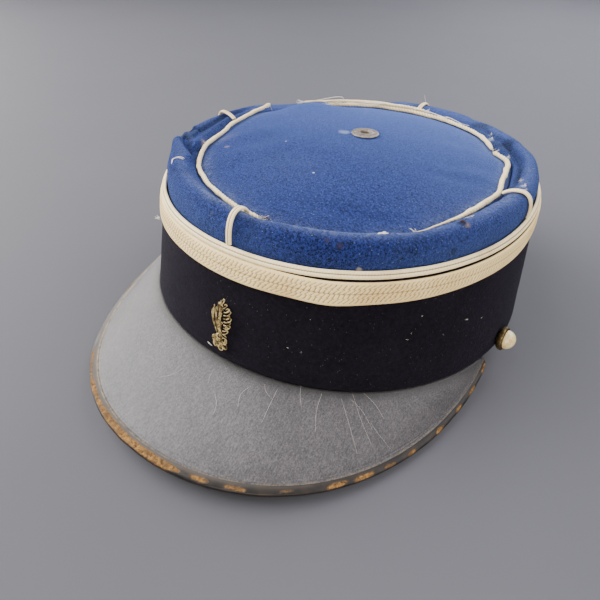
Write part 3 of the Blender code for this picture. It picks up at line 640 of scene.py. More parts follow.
turban_wool = wool("fulled_blue_wool", (
    (spot_on_roll(60.6, 0.90), 0.0014, 0.8, "#7d6a55"),
    # Painted shade: a hole in the cloth, painted near black.
    (spot_on_roll(60.0, 1.02), 0.0018, 1.0, "#020203"),
    (spot_on_roll(64.0, 1.35), 0.0011, 0.8, "#b5bccb"),
    (spot_on_roll(56.0, 0.25), 0.0016, 0.9, "#07080e"),
    (spot_on_roll(-5.0, 0.55), 0.0007, 0.6, "#4d4544"),
    (spot_on_roll(25.0, 0.72), 0.0010, 0.6, "#3c3138"),
    (spot_on_roll(28.0, 0.60), 0.0012, 0.6, "#352c36"),
    (spot_on_roll(33.0, 0.1), 0.0010, 0.7, "#b7ad98"),
    (spot_on_roll(151.0, 1.2), 0.0050, 0.85, "#0d0e16"),
    (spot_on_roll(184.0, 1.1), 0.0034, 0.6, "#15161f"),
    (spot_on_roll(131.0, 1.3), 0.0044, 0.75, "#10111a"),
    (spot_on_roll(139.0, 1.60), 0.0017, 0.6, "#a9b4cc"),
    (spot_on_roll(143.0, 1.40), 0.0013, 0.6, "#9da9c4"),
    (spot_on_roll(122.0, 1.75), 0.0012, 0.6, "#a9b1c4"),
    (spot_on_roll(97.0, 1.35), 0.0016, 0.5, "#a3aec8"),
    (spot_on_roll(92.0, 1.10), 0.0013, 0.5, "#b9bfcc"),
    (spot_on_roll(-58.0, 1.80), 0.0024, 0.5, "#a98f86"),
), 0.12)
rows = np.concatenate([np.linspace(0.0, 1.0, ROWS_TO_CREST)[1:], np.linspace(1.0, 2.0, ROWS_TO_SEAM)[1:]])
angles = turns(TURBAN_AROUND)[None, :]
along = rows[:, None]
roll_face = roll(angles, along)
reach = np.sin(pi * np.clip(along / 2.0, 0, 1)) ** 0.6
sunk = folds(roll_face)
height = sunk + 0.00040 * uneven(roll_face, 0.010) + 0.00014 * uneven(roll_face, 0.0035, 5.0)
ring = lengths(seam(angles[0]))
gather = np.sin(2 * pi * ring / 0.0075 + 2.5 * uneven(seam(angles[0]), 0.014, 9.0))[None, :]
height = height + 0.00022 * gather * np.clip(along - 1.1, 0, 0.8)
roll_face = roll_face + outward(roll_face, (False, True)) * (height * reach)[..., None]
lap = wall(angles, 2.0 - TURBAN_LAP / BRAID_BED, -(BAND_WALL + CLEARANCE))
allowance = roll_face[-1:] - np.array([0.0, 0.0, SEAM_ALLOWANCE])
inner_along = np.array([1.9, 1.6, 1.3, 1.0, 0.75, 0.5, 0.25])[:, None]
lining = roll(angles, inner_along)
lining = lining - outward(lining[::-1], (False, True))[::-1] * (TURBAN_WALL + 0.0006)
low_lap = wall(angles, 2.0 - TURBAN_LAP / BRAID_BED, -(BAND_WALL + CLEARANCE + TURBAN_WALL))
turned_in = unit((foot(angles) - allowance) * np.array([1.0, 1.0, 0.0])) * TURBAN_WALL
points = np.concatenate([lap, foot(angles), roll_face, allowance, allowance + turned_in, lining,
                         low_lap, lap])
crest = np.exp(-((along - 1.12) / 0.20) ** 2)
patchy = 0.5 + 0.5 * uneven(roll_face, 0.008, 11.0)
front = np.exp(-(apart(angles, 12.0) / 48.0) ** 2)
wear = crest * (0.18 + 0.62 * front) * patchy
wear = wear + 0.35 * np.exp(-(apart(angles, -10.0) / 9.0) ** 2 - ((along - 1.2) / 0.18) ** 2)
wear = wear + 0.30 * np.exp(-(apart(angles, 84.0) / 16.0) ** 2 - ((along - 1.3) / 0.35) ** 2)
# Dirt in a patch at the left back; painted shade in the creases by their depth and along the foot where the
# roll leaves the band.
dirt_and_painted_shade = 0.60 * np.exp(-(apart(angles, 124.0) / 28.0) ** 2 - ((along - 1.52) / 0.28) ** 2)
dirt_and_painted_shade = np.clip(dirt_and_painted_shade + np.clip(-sunk / 0.0016, 0, 0.75) + 0.35 * np.exp(-(along / 0.16) ** 2), 0, 0.85)


def among(grid, before, rows):
    """The values of one face, with zeros for the rows before and after it."""
    clean = np.zeros((rows, grid.shape[1]))
    clean[before:before + len(grid)] = grid
    return clean


wear_dirt_and_painted_light = [among(grid, 2, len(points)) for grid in (wear, dirt_and_painted_shade)]
fit(skin("turban", points, turban_wool, (True, True), None, wear_dirt_and_painted_light), "royal_blue_wool", "turban")

# The top: a domed piece of the same wool over a stiffener, set into the turban by the top seam.
# It has swelled at the right back, and soft folds run in from the seam.
DISC_WALL, DISC_DOME = 0.0020, 0.0095
DISC_GRID = 166
DISC_SWELLS = ((-0.64, 0.36, 0.22, 0.34), (-0.62, 0.05, 0.16, 0.06), (-0.35, -0.55, 0.30, -0.08),
               (0.55, 0.20, 0.26, 0.08))
DISC_FOLDS = (
    # Creases and dents: x, y, long and short spread, direction in degrees, height, in metres
    (-0.034, -0.046, 0.022, 0.0070, 55.0, 0.0007),
    (-0.038, -0.030, 0.020, 0.0085, 48.0, -0.0009),
    (-0.050, -0.022, 0.014, 0.0060, 50.0, 0.0006),
    (-0.050, 0.033, 0.016, 0.0090, 70.0, 0.0016),
    (0.056, 0.002, 0.012, 0.0030, 35.0, 0.0007),
    (0.050, -0.010, 0.014, 0.0034, 30.0, -0.0005),
    (0.058, 0.016, 0.010, 0.0028, 42.0, -0.0006),
    (0.030, -0.060, 0.020, 0.0040, 20.0, -0.0006),
    (0.010, 0.030, 0.024, 0.0120, 10.0, -0.0005),
    (-0.010, -0.030, 0.030, 0.0160, 30.0, 0.0005),
)


def seam_plane(y):
    """The even height of the seam, without the roll's ups and downs."""
    front = foot(np.array(0.0))[2] + ROLL_FRONT_RISE * (1.0 - SEAM_VALLEY)
    back = foot(np.array(pi))[2] + ROLL_BACK_RISE * (1.0 - SEAM_VALLEY)
    return front + (back - front) * (0.5 + (y + SEAM_SET_FORWARD) / SEAM_LENGTH)


def disc_edge(angle):
    """The edge of the top, a clearance inside the seam."""
    at = seam(angle)
    inwards = np.stack([-at[..., 0], -SEAM_SET_FORWARD - at[..., 1], 0 * at[..., 0]], -1)
    return at + unit(inwards) * CLEARANCE


def disc(angle, share):
    """Points of the top's upper face, a share of the way from its middle to its edge."""
    end = disc_edge(angle)
    x = end[..., 0] * share
    y = -SEAM_SET_FORWARD + (end[..., 1] + SEAM_SET_FORWARD) * share
    height = seam_plane(y) + DISC_DOME * (1.0 - share ** 2.2)
    height = height + (end[..., 2] - seam_plane(end[..., 1])) * share ** 5
    half = SEAM_LENGTH / 2
    for across, back, spread, rise in DISC_SWELLS:
        away = ((x / half - across) ** 2 + (y / half - back) ** 2) / spread ** 2
        height = height + DISC_DOME * rise * np.exp(-away) * (1.0 - share ** 8)
    return np.stack([x, y, height], -1)


def on_top(x, y, lift=0.0):
    """A point of the top's face by its place across and back."""
    far = np.linspace(0.0, 1.0, 200)
    line = disc(np.full(200, atan2(x, -(y + SEAM_SET_FORWARD))), far)
    k = np.argmin(np.hypot(line[:, 0] - x, line[:, 1] - y))
    return tuple(float(v) for v in line[k] + np.array([0.0, 0.0, lift]))


disc_wool = wool("fulled_blue_wool_top", (
    (on_top(-0.0065, -0.0026), 0.0026, 0.45, "#a7b6d2"),
    (on_top(-0.0246, -0.0260), 0.00055, 0.9, "#e9e9ee"),
    (on_top(0.0054, -0.0461), 0.00040, 0.9, "#d5dbe8"),
    (on_top(-0.0505, -0.0371), 0.0014, 0.35, "#b79a92"),
    (on_top(-0.0600, -0.0250), 0.0060, 0.35, "#57557a"),
), 0.42)
grid = np.linspace(-1.0, 1.0, DISC_GRID)
u, v = np.meshgrid(grid, grid)
x, y = u * np.sqrt(1 - v ** 2 / 2), v * np.sqrt(1 - u ** 2 / 2)
share = np.minimum(np.hypot(x, y), 1.0)
points = disc(np.arctan2(x, -y), share)
height = 0.00035 * uneven(points, 0.013, 2.0) + 0.00010 * uneven(points, 0.004, 4.0)
for at_x, at_y, long, short, way, rise in DISC_FOLDS:
    dx, dy = points[..., 0] - at_x, points[..., 1] - at_y
    c, s = cos(radians(way)), sin(radians(way))
    ahead, aside = (dx * c + dy * s) / long, (dy * c - dx * s) / short
    height = height + rise * np.exp(-ahead ** 2 - aside ** 2)
points[..., 2] += height * (1.0 - share ** 10)
rim = np.exp(-((share - 0.96) / 0.05) ** 2)
wear = rim * 0.5 * (0.5 + 0.5 * uneven(points, 0.006, 8.0))
wear = wear + 0.16 * np.clip(uneven(points, 0.018, 14.0), 0, 1)
behind = np.exp(-(apart(np.arctan2(x, -y), 186.0) / 44.0) ** 4)
# Painted shade with dirt: darker along the edge beside the cord, most at the back.
dirt_and_painted_shade = (0.35 + 0.55 * behind) * np.exp(-((share - 1.0) / 0.03) ** 2)
top = skin("top_disc", points, disc_wool, (False, False), None, (wear, dirt_and_painted_shade))
thick = top.modifiers.new("wall", "SOLIDIFY")
thick.thickness, thick.offset, thick.use_even_offset = DISC_WALL, -1, True
fit(top, "royal_blue_wool", "top_disc")

# The cord on the top seam: one twisted cream cord, worn through into four stretches, with a
# second strand over it at the back. Its ends are frayed.
PIPING_DIAMETER, LOOSE_END_DIAMETER = 0.0020, 0.0017
PIPING_STEP_DEGREES = 0.20
PIPING_WANDER, LOOSE_END_WANDER = 0.0008, 0.0009
PIPING = (
    # name, start and end in degrees, then angle, thickness, and lift and shift inwards in mm
    ("top_piping_left", -126.0, 4.0,
     ((-126, 0.5, -3.0, 0), (-107, 0.05, -3.6, 0), (-106.2, 0.05, -1.0, -1.0),
      (-105.7, 0.06, 1.3, -1.4), (-105.4, 0.85, 1.5, -1.4), (-105.0, 1.08, 1.6, -1.4),
      (-101, 1.05, 0.9, -0.6), (-94, 1.0, 0.1, 0), (-40, 1.0, 0, 0), (4, 0.9, 0, 0))),
    ("top_piping_front", 8.0, 48.0, ((34, 0.85, 0, 0), (40, 0.55, 0, 0), (47, 0.45, 0, 0))),
    ("top_piping_right", 49.5, 127.0,
     ((50, 0.25, 0, 0), (56, 0.35, 0, 0), (62, 0.60, 0, 0), (69, 1.15, 0, 0), (90, 1.1, 0, 0.6),
      (104, 1.15, 0, 1.7), (112, 1.15, 0, 1.7), (118, 1.1, 0, 0.5), (122, 1.0, 0, 0.2),
      (127, 0.95, 0, 1.2))),
    ("top_piping_back", 130.0, 226.0,
     ((130, 0.85, 0, 0.6), (136, 1.05, 0, 0), (180, 1.15, 0, 0), (226, 1.1, 0, 0))),
)
LOOSE_END = (178.0, 238.0, ((178, 0.8, 0, 0), (190, 1.0, 0, 0.4), (210, 1.0, 0, -0.5), (230, 0.7, 0, 0)))
LOOSE_END_LIFT = (PIPING_DIAMETER + LOOSE_END_DIAMETER) / 2 + CLEARANCE


def piping_middle(angle, diameter=PIPING_DIAMETER, lift=0.0):
    """The middle of the cord that lies on the top's edge, against the roll."""
    end = disc_edge(angle)
    reach = diameter / 2 + CLEARANCE
    radius = np.hypot(end[..., 0], end[..., 1] + SEAM_SET_FORWARD)
    bed = disc(angle, 1.0 - reach / radius)
    bed[..., 2] += reach * 1.15 + lift
    return bed


def frames(middle, out):
    """Two directions square to a line: across it, and as near to out as may be."""
    way = unit(np.gradient(middle, axis=0))
    wide = unit(np.cross(way, out))
    return wide, np.cross(wide, way)


def twisted_cord(middle, diameter, out, sides=14):
    """A round two-ply cord along a line, its ends drawn in."""
    wide, up = frames(middle, out)
    turn = np.linspace(0.0, 2 * pi, sides + 1)[:, None]
    run = lengths(middle)[None, :]
    ply = np.abs(np.cos(turn + 2 * pi * run / (CORD_TWIST * 3.4)))
    left = np.minimum(run, run.max() - run) / (np.max(diameter) * 0.45)
    closing = np.sqrt(np.clip(1 - (1 - np.clip(left, 0.02, 1)) ** 2, 0, 1))
    radius = diameter / 2 * (0.76 + 0.28 * ply) * closing
    lay = (run + 0 * turn, turn * np.max(diameter) / 2 + 0 * run, 0.22 + 0.78 * ply)
    return tube(middle, wide, up, radius * np.cos(turn), radius * np.sin(turn)), lay


def lay_piping(name, start, end, worn, diameter, lift, wander):
    """One stretch of the cord, wandering a little off its line as loose stitches let it."""
    degrees = np.linspace(start, end, int((end - start) / PIPING_STEP_DEGREES))
    middle = piping_middle(np.radians(degrees), diameter, lift)
    out = np.zeros_like(middle)
    out[:, 2] = 1.0
    off = unit(middle * np.array([1.0, 1.0, 0.0]))
    middle = middle + off * (wander * uneven(middle, 0.007, start))[:, None]
    middle = middle + off * (wander * 0.4 * uneven(middle, 0.0022, start + 1.0))[:, None]
    middle[:, 2] += 0.0003 * np.abs(uneven(middle, 0.009, start + 3.0))
    at, thick, raise_by, inwards = np.array(worn).T
    middle = middle - off * (np.interp(degrees, at, inwards) / 1000)[:, None]
    middle[:, 2] += np.interp(degrees, at, raise_by) / 1000
    thin = np.interp(degrees, at, thick) * (1 + 0.18 * uneven(middle, 0.0018, start + 5.0))
    points, lay = twisted_cord(middle, diameter * thin, out)
    obj = skin(name, points, cord_silk, (True, False), lay)
    return fit(cap_ends(obj), "cream_cord", name)


for name, start, end, worn in PIPING:
    lay_piping(name, start, end, worn, PIPING_DIAMETER, 0.0, PIPING_WANDER)
lay_piping("top_piping_loose_end", *LOOSE_END, LOOSE_END_DIAMETER, LOOSE_END_LIFT, LOOSE_END_WANDER)

# The uprights: four double cords that climb from the band's edge over the roll to the top seam,
# at the front, the back and both sides, whipped down at both ends.
SOUTACHE_WIDTH, SOUTACHE_THICKNESS = 0.0024, 0.0013
UPRIGHT_STEPS = 261
UPRIGHTS = (("upright_front", 1.0), ("upright_left", 87.0), ("upright_back", 182.0),
            ("upright_right", -85.0))
for name, degrees in UPRIGHTS:
    angle = np.array(radians(degrees))
    along = np.linspace(0.0, 2.0, UPRIGHT_STEPS)
    near = 0.004
    ahead = roll(angle, np.minimum(along + near, 2.0)) - roll(angle, np.maximum(along - near, 0.0))
    sideways = roll(angle + near, along) - roll(angle - near, along)
    out = unit(np.cross(sideways, ahead))
    middle = roll(angle, along) + out * (CLEARANCE + SOUTACHE_THICKNESS / 2)
    floor_height = foot(angle)[2] + SOUTACHE_WIDTH + 2 * CLEARANCE
    clear = PIPING_DIAMETER / 2 + SOUTACHE_THICKNESS / 2 + 2 * CLEARANCE
    kept = middle[:, 2] >= floor_height
    kept &= np.linalg.norm(middle - piping_middle(angle), axis=1) >= clear
    middle, out = middle[kept], out[kept]
    wide, out = frames(middle, out)
    points, lay = double_cord(middle, wide, out, SOUTACHE_WIDTH, SOUTACHE_THICKNESS)
    obj = skin(name, points, cord_silk, (True, False), lay)
    fit(cap_ends(obj), "cream_cord", name)

# The vent: a stamped brass eyelet, nickelled and long since dull, clinched through the middle of
# the top: a flat flange, a rolled lip and a sunk hole with dust in it.
VENT_DIAMETER, VENT_HEIGHT, VENT_HOLE = 0.0130, 0.0012, 0.0050
VENT_SET_LEFT, VENT_SET_BACK = 0.0030, 0.0020
FACET_SAG = 0.0002

# Dull nickel on brass: warm grey, darker where it is pitted, with brown dust in the hole.
vent_metal, graph, shader = finish("dull_nickelled_brass", Metallic=0.85)
place = solid_place(graph)
pits = grain(graph, place, 0.0007, 4.0, 0.7)
metal = blend(graph, between(graph, pits, 0.40, 0.68), linear("#9c948a"), linear("#5d5348"))
radius = add(graph, "ShaderNodeVectorMath", {0: place, 1: (1.0, 1.0, 0.0)}, operation="MULTIPLY")
radius = add(graph, "ShaderNodeVectorMath", {0: radius}, operation="LENGTH").outputs["Value"]
metal = blend(graph, between(graph, radius, 0.0021, 0.0025, 1.0, 0.0), metal, linear("#4a3626"))
painted(graph, shader, metal)
roughened(graph, shader, between(graph, pits, 0.3, 0.7, 0.38, 0.68))
raised(graph, shader, pits, 0.00008, 0.6)


def turned(name, profile, matrix, material, steps=72):
    """A turned piece: a smoothed profile of radius and height, spun round its own axis."""
    knots = np.array(profile)
    far = lengths(knots)
    smooth = np.linspace(0.0, far[-1], 6 * len(profile))
    line = np.stack([np.interp(smooth, far, knots[:, k]) for k in (0, 1)], 1)
    line[1:-1] = line[1:-1] * 0.5 + (line[:-2] + line[2:]) * 0.25
    mesh = bpy.data.meshes.new(name)
    mesh.from_pydata([(r, 0.0, z) for r, z in line], [(k, k + 1) for k in range(len(line) - 1)], [])
    obj = show(name, mesh, material)
    obj.matrix_world = CAP_REST @ matrix
    spin = obj.modifiers.new("spin", "SCREW")
    spin.steps = spin.render_steps = steps
    spin.use_merge_vertices, spin.merge_threshold = True, 0.00001
    spin.use_normal_calculate, spin.use_smooth_shade = True, True
    return obj


angle = atan2(VENT_SET_LEFT, -VENT_SET_BACK)
share = Vector((VENT_SET_LEFT, VENT_SET_BACK)).length / (SEAM_LENGTH / 2)
here = Vector(disc(np.array(angle), share))
ways = [Vector(disc(np.array(turn), 0.1)) for turn in (0.0, pi, pi / 2, -pi / 2)]
normal = (ways[2] - ways[3]).cross(ways[1] - ways[0]).normalized()
hole, radius = VENT_HOLE / 2, VENT_DIAMETER / 2
profile = ((0.0, 0.10), (hole * 0.80, 0.08), (hole * 0.96, 0.12), (hole, 0.50), (hole * 1.06, 0.72),
           (hole * 1.16, 0.78), (hole * 1.32, 0.72), (hole * 1.55, 0.52), (hole * 1.75, 0.46),
           (radius * 0.90, 0.50), (radius * 0.97, 0.46), (radius, 0.28), (radius, 0.02), (radius * 0.9, 0.0))
spot = Matrix.Translation(here + normal * (CLEARANCE + FACET_SAG))
matrix = spot @ normal.to_track_quat("Z", "Y").to_matrix().to_4x4()
vent = turned("vent", [(r, h * VENT_HEIGHT) for r, h in profile], matrix, vent_metal)
fit(vent, "aged_vent_metal", "vent")

# The peak: stiff vegetable-tanned leather, blacked and varnished, tucked under the band's rim.
# A double line is tooled along its edge. The varnish has crazed, radially where it was bent.
PEAK_REACH, PEAK_SPREAD, PEAK_HORN = 0.0457, radians(75.0), 0.0022
PEAK_FRONT_DROP, PEAK_SIDE_DROP = 0.0140, 0.0256
PEAK_THICKNESS, PEAK_TUCK = 0.0020, 0.0018
PEAK_CURL, PEAK_CROWDING, PEAK_ENDS = 0.50, 0.70, 0.996
BINDING_WIDTH, BINDING_LEATHER, BINDING_SHARE_AT_HORNS = 0.0040, 0.0009, 0.70
TOOLED_LINES, TOOL_HALF_WIDTH, TOOL_DEPTH = (0.0009, 0.0021), 0.00022, 0.00026
PEAK_STATIONS, PEAK_ROWS, BINDING_STATIONS = 440, 92, 900

# Crazed black varnish on leather: satin, grey where it mirrors the light, with fine hair cracks
# that run out from the band, 0.7 mm apart and 1.6 mm long. The pores are 0.3 mm.
leather, graph, shader = finish("crazed_black_leather", IOR=1.5, Specular_IOR_Level=0.46,
                                Coat_Weight=0.25, Coat_Roughness=0.42, Coat_IOR=1.5)
laid = stored(graph, "lay")
place = solid_place(graph)
flowing = add(graph, "ShaderNodeMapping", {"Vector": laid, "Scale": (1.0, 0.42, 0.0)})
cracks = add(graph, "ShaderNodeTexVoronoi", {"Vector": flowing, "Scale": 1500.0, "Randomness": 1.0},
             feature="DISTANCE_TO_EDGE")
cracks = between(graph, cracks.outputs["Distance"], 0.0, 0.14, 1.0, 0.0)
pores = grain(graph, place, 0.00032, 4.0, 0.80)
sweep = grain(graph, flowing, 0.00048, 5.0, 0.80)
cloud = grain(graph, place, 0.014, 4.0)
black = blend(graph, between(graph, cloud, 0.35, 0.7), linear("#222024"), linear("#353238"))
black = blend(graph, between(graph, sweep, 0.46, 0.62, 0.0, 0.40), black, linear("#686467"))
black = blend(graph, between(graph, pores, 0.50, 0.62, 0.0, 0.55), black, linear("#6d696d"))
black = blend(graph, between(graph, pores, 0.36, 0.46, 0.65, 0.0), black, linear("#1b191b"))
dust = times(graph, cracks, between(graph, cloud, 0.35, 0.75, 0.05, 0.45))
black = blend(graph, dust, black, linear("#7a7570"))
wear_dirt_and_painted_light = split(graph, stored(graph, "wear_dirt_and_painted_light"))
bare = between(graph, grain(graph, place, 0.0012, 5.0, 0.8), 0.42, 0.56)
# Bare tan where scuffed at the edge; on the lit left side it is also a painted highlight along the tooled
# line.
black = blend(graph, times(graph, wear_dirt_and_painted_light.outputs["X"], bare), black, linear("#a08a62"))
# Darker close under the band: grime, and painted shadow of the band's rim.
black = blend(graph, wear_dirt_and_painted_light.outputs["Y"], black, linear("#17120f"))
painted(graph, shader, black)
rough = blend(graph, between(graph, cloud, 0.3, 0.75), 0.34, 0.45, "FLOAT")
rough = blend(graph, between(graph, pores, 0.40, 0.65), rough, 0.56, "FLOAT")
roughened(graph, shader, rough)
under = raised(graph, shader, pores, 0.00020, 0.85)
under = raised(graph, shader, sweep, 0.00022, 0.5, under)
raised(graph, shader, cracks, -0.00010, 0.5, under)


def peak_edge(share):
    """Points of the peak's outer edge, from the right horn at -1 to the left one at 1."""
    horn = wall(PEAK_SPREAD, 0.0)
    swing = share * pi / 2
    across, ahead = np.sin(swing), np.maximum(np.cos(swing), 0.0)
    power = 2.0 / SQUARENESS
    half_width, start = horn[0] + PEAK_HORN, horn[1] - PEAK_HORN
    x = half_width * np.sign(across) * np.abs(across) ** power
    y = start - (RIM_LENGTH / 2 + PEAK_REACH + start) * ahead ** power
    drop = PEAK_FRONT_DROP + (PEAK_SIDE_DROP - PEAK_FRONT_DROP) * across ** 2
    return np.stack([x, y, -drop * ahead ** PEAK_CURL - CLEARANCE], -1)


def peak_point(share, way):
    """Points of the peak's upper face: way is 0 at the band's face and 1 at the outer edge."""
    root, end = wall(share * PEAK_SPREAD, 0.0, CLEARANCE), peak_edge(share)
    root[..., 2] = -CLEARANCE
    way = np.asarray(way)[..., None] + 0 * root
    point = root + (end - root) * way
    point[..., 2] = root[..., 2] + (end - root)[..., 2] * way[..., 2] ** 1.12
    return point


def binding_width(share):
    """The binding's width, narrower at the horns."""
    span = np.linalg.norm(peak_point(share, 1.0) - peak_point(share, 0.0), axis=-1)
    return np.minimum(BINDING_WIDTH, span * BINDING_SHARE_AT_HORNS)


def peak_frame(share):
    """The outer edge, straight out over it, and straight up out of the leather."""
    end = peak_edge(share)
    span = np.linalg.norm(end - peak_point(share, 0.0), axis=-1)
    out = unit(end - peak_point(share, 1.0 - binding_width(share) / span))
    sideways = peak_edge(np.minimum(share + 0.05, 1.0)) - peak_edge(np.maximum(share - 0.05, -1.0))
    return end, out, unit(np.cross(out, sideways))


def peak_shares(count):
    """Stations across the peak, closer together towards the horns."""
    step = np.linspace(-1.0, 1.0, count)
    return (step + (np.sin(step * pi / 2) - step) * PEAK_CROWDING) * PEAK_ENDS


share = peak_shares(PEAK_STATIONS)
end, out, up = peak_frame(share)
width = binding_width(share)
top_edge = end - out * (BINDING_LEATHER + CLEARANCE)
under_binding = end - out * width[:, None]
root = wall(share * PEAK_SPREAD, 0.0, CLEARANCE)
tuck = wall(share * PEAK_SPREAD, 0.0, -PEAK_TUCK)
root[:, 2] = tuck[:, 2] = -CLEARANCE
span = np.linalg.norm(end - root, axis=1)
shown = 1.0 - width / span
ways = np.concatenate([np.linspace(0.0, 0.985, PEAK_ROWS), (0.990, 0.995, 0.9985, 1.0)])
face = np.stack([peak_point(share, shown * way) for way in ways])
from_edge = (1 - ways)[:, None] * (shown * span)[None, :]
sunk = 0.0
for away in TOOLED_LINES:
    sunk = sunk + TOOL_DEPTH * np.exp(-((from_edge - away) / TOOL_HALF_WIDTH) ** 2)
face_up = outward(face, (False, False))
face_up = face_up * np.sign(face_up[..., 2:3])
soft = 0.00014 * uneven(face, 0.012, 6.0) + 0.00005 * uneven(face, 0.0028, 12.0)
soft = soft * np.clip(from_edge / 0.004, 0, 1) * np.clip(ways / 0.08, 0, 1)[:, None]
# The face rises to the binding, as the leather does where it is sewn in.
rise = 0.00034 * np.exp(-(from_edge / 0.0006) ** 2)
face = face + face_up * (soft - sunk + rise)[..., None]
drop = np.array([0.0, 0.0, -PEAK_THICKNESS])
lower = [row - up * PEAK_THICKNESS for row in (top_edge, under_binding)]
lower += [peak_point(share, shown * way) - up * PEAK_THICKNESS for way in np.linspace(0.97, 0.12, 12)]
lower += [root + unit(drop - up * PEAK_THICKNESS) * PEAK_THICKNESS, tuck + drop]
points = np.concatenate([tuck[None], face, under_binding[None], top_edge[None], np.stack(lower),
                         tuck[None]])
across = lengths(peak_edge(share))[None, :] - lengths(peak_edge(share)).max() / 2
down = np.concatenate([[0.0], np.cumsum(np.linalg.norm(np.diff(points, axis=0), axis=2).mean(1))])
left_side = np.clip((-np.degrees(np.arctan2(end[:, 0], -end[:, 1])) + 15.0) / 40.0, 0.25, 1.0)
# Scuffs along the edge, strongest on the lit left side, where they also serve as a painted highlight.
scuffs_and_painted_highlight = 0.9 * np.exp(-(from_edge / 0.0008) ** 2) * left_side
# Grime and painted shadow in a strip close under the band.
grime_and_painted_band_shadow = 0.75 * np.exp(-(ways[:, None] * span[None, :] / 0.0035) ** 2)
wear_dirt_and_painted_light = [among(grid, 1, len(points))[:, ::-1] for grid in (scuffs_and_painted_highlight, grime_and_painted_band_shadow)]
obj = skin("peak", points[:, ::-1], leather, (True, False),
           (across[:, ::-1] + 0 * down[:, None], down[:, None] + 0 * across), wear_dirt_and_painted_light)
fit(cap_ends(obj), "black_leather", "peak")

# The binding: a strip of thin leather folded over the peak's edge and stuck down. Its varnish has
# rubbed through to bare tan leather in patches along the front and the right side.

# Worn glazed leather: dark brown to black, tan where it is rubbed, rougher there, and painted grey as a
# highlight on its upper face.
binding_leather, graph, shader = finish("rubbed_binding_leather", IOR=1.5, Specular_IOR_Level=0.32)
wear_dirt_and_painted_light = split(graph, stored(graph, "wear_dirt_and_painted_light"))
laid = stored(graph, "lay")
place = solid_place(graph)
flowing = add(graph, "ShaderNodeMapping", {"Vector": laid, "Scale": (0.45, 1.0, 0.0)})
patch = grain(graph, flowing, 0.0018, 7.0, 0.85)
pores = grain(graph, place, 0.0006, 5.0, 0.8)
rub = add(graph, "ShaderNodeMath", {0: patch, 1: wear_dirt_and_painted_light.outputs["X"]}, operation="ADD")
rub = between(graph, rub, 0.80, 0.98)
glaze = blend(graph, between(graph, grain(graph, place, 0.003, 4.0), 0.35, 0.7), linear("#0a0909"),
              linear("#2a211a"))
# Painted highlight: grey on the upper face, where the second part of the stored marks says so.
glaze = blend(graph, wear_dirt_and_painted_light.outputs["Y"], glaze, linear("#78716a"))
tan = blend(graph, between(graph, pores, 0.40, 0.60), linear("#33220f"), linear("#a0743a"))
tan = blend(graph, between(graph, grain(graph, place, 0.0022, 4.0), 0.44, 0.66), tan, linear("#5b4326"))
painted(graph, shader, blend(graph, rub, glaze, tan))
rough = blend(graph, rub, between(graph, pores, 0.3, 0.7, 0.34, 0.5), 0.82, "FLOAT")
roughened(graph, shader, rough)
under = raised(graph, shader, rub, -0.00012, 0.7)
raised(graph, shader, pores, 0.00012, 0.6, under)

share = peak_shares(BINDING_STATIONS)
end, out, up = peak_frame(share)
width = binding_width(share)
inner = PEAK_THICKNESS / 2 + CLEARANCE
outer = inner + BINDING_LEATHER
# Its inner edge is skived thin, so that it meets the face without a step.
section = [(-1.0, inner * 0.98, 0), (-0.997, inner * 1.03, 1), (-0.985, inner * 1.04, 1),
           (-0.94, inner * 1.10, 1), (-0.86, inner * 1.22, 1), (-0.74, outer * 0.83, 1),
           (-0.62, outer * 0.91, 1), (-0.50, outer * 0.96, 1), (-0.38, outer, 1), (-0.30, outer, 1)]
turn = np.linspace(pi / 2, -pi / 2, 13)
section += [(-0.24 + 0.24 * cos(t), outer * sin(t), 1) for t in turn]
section += [(t, -outer, 1) for t in (-0.45, -0.75, -0.95)]
section += [(-1.0, -inner * 1.02, 0), (-0.25, -inner, 0), (-0.25, inner * 0.98, 0), (-1.0, inner * 0.98, 0)]
middle = end - up * (PEAK_THICKNESS / 2)
points = np.stack([middle + out * (width * t)[:, None] + up * rise for t, rise, _ in section])
lump = 0.00012 * uneven(points, 0.0035, 21.0) + 0.00005 * uneven(points, 0.0011, 22.0)
free = np.array([f for _, _, f in section])[:, None]
towards = unit(points - (middle - out * (width * 0.3)[:, None])[None])
points = points + towards * (lump * free - 0.00008 * free)[..., None]
run = lengths(end)
centre = np.degrees(np.arctan2(end[:, 0], -end[:, 1]))
RUBS = (
    # Rubbed stretches of the edge: angle, half width in degrees, strength
    (-70.0, 4.0, 0.22), (-51.0, 3.0, 0.34), (-45.0, 2.5, 0.46), (-37.0, 2.5, 0.22), (-30.0, 2.5, 0.26),
    (-22.0, 3.6, 0.44), (-14.0, 4.4, 0.56), (-5.0, 5.0, 0.74), (4.0, 4.4, 0.70), (11.0, 1.6, 0.50),
    (16.0, 1.8, 0.46), (23.0, 1.6, 0.34), (30.5, 1.8, 0.52), (35.2, 2.0, 0.50), (40.0, 1.5, 0.44),
    (44.6, 1.3, 0.46), (52.0, 1.4, 0.58), (58.5, 1.2, 0.52), (64.0, 1.6, 0.54), (71.0, 2.4, 0.50),
)
rubbed = sum(s * np.exp(-((centre - a) / w) ** 4) for a, w, s in RUBS)[None, :]
above = np.array([1.0 if r > -0.0003 else 0.0 for _, r, _ in section])[:, None]
place_across = np.array([t for t, _, _ in section])[:, None]
edge_bias = np.exp(-((place_across + 0.48) / 0.27) ** 2) * above
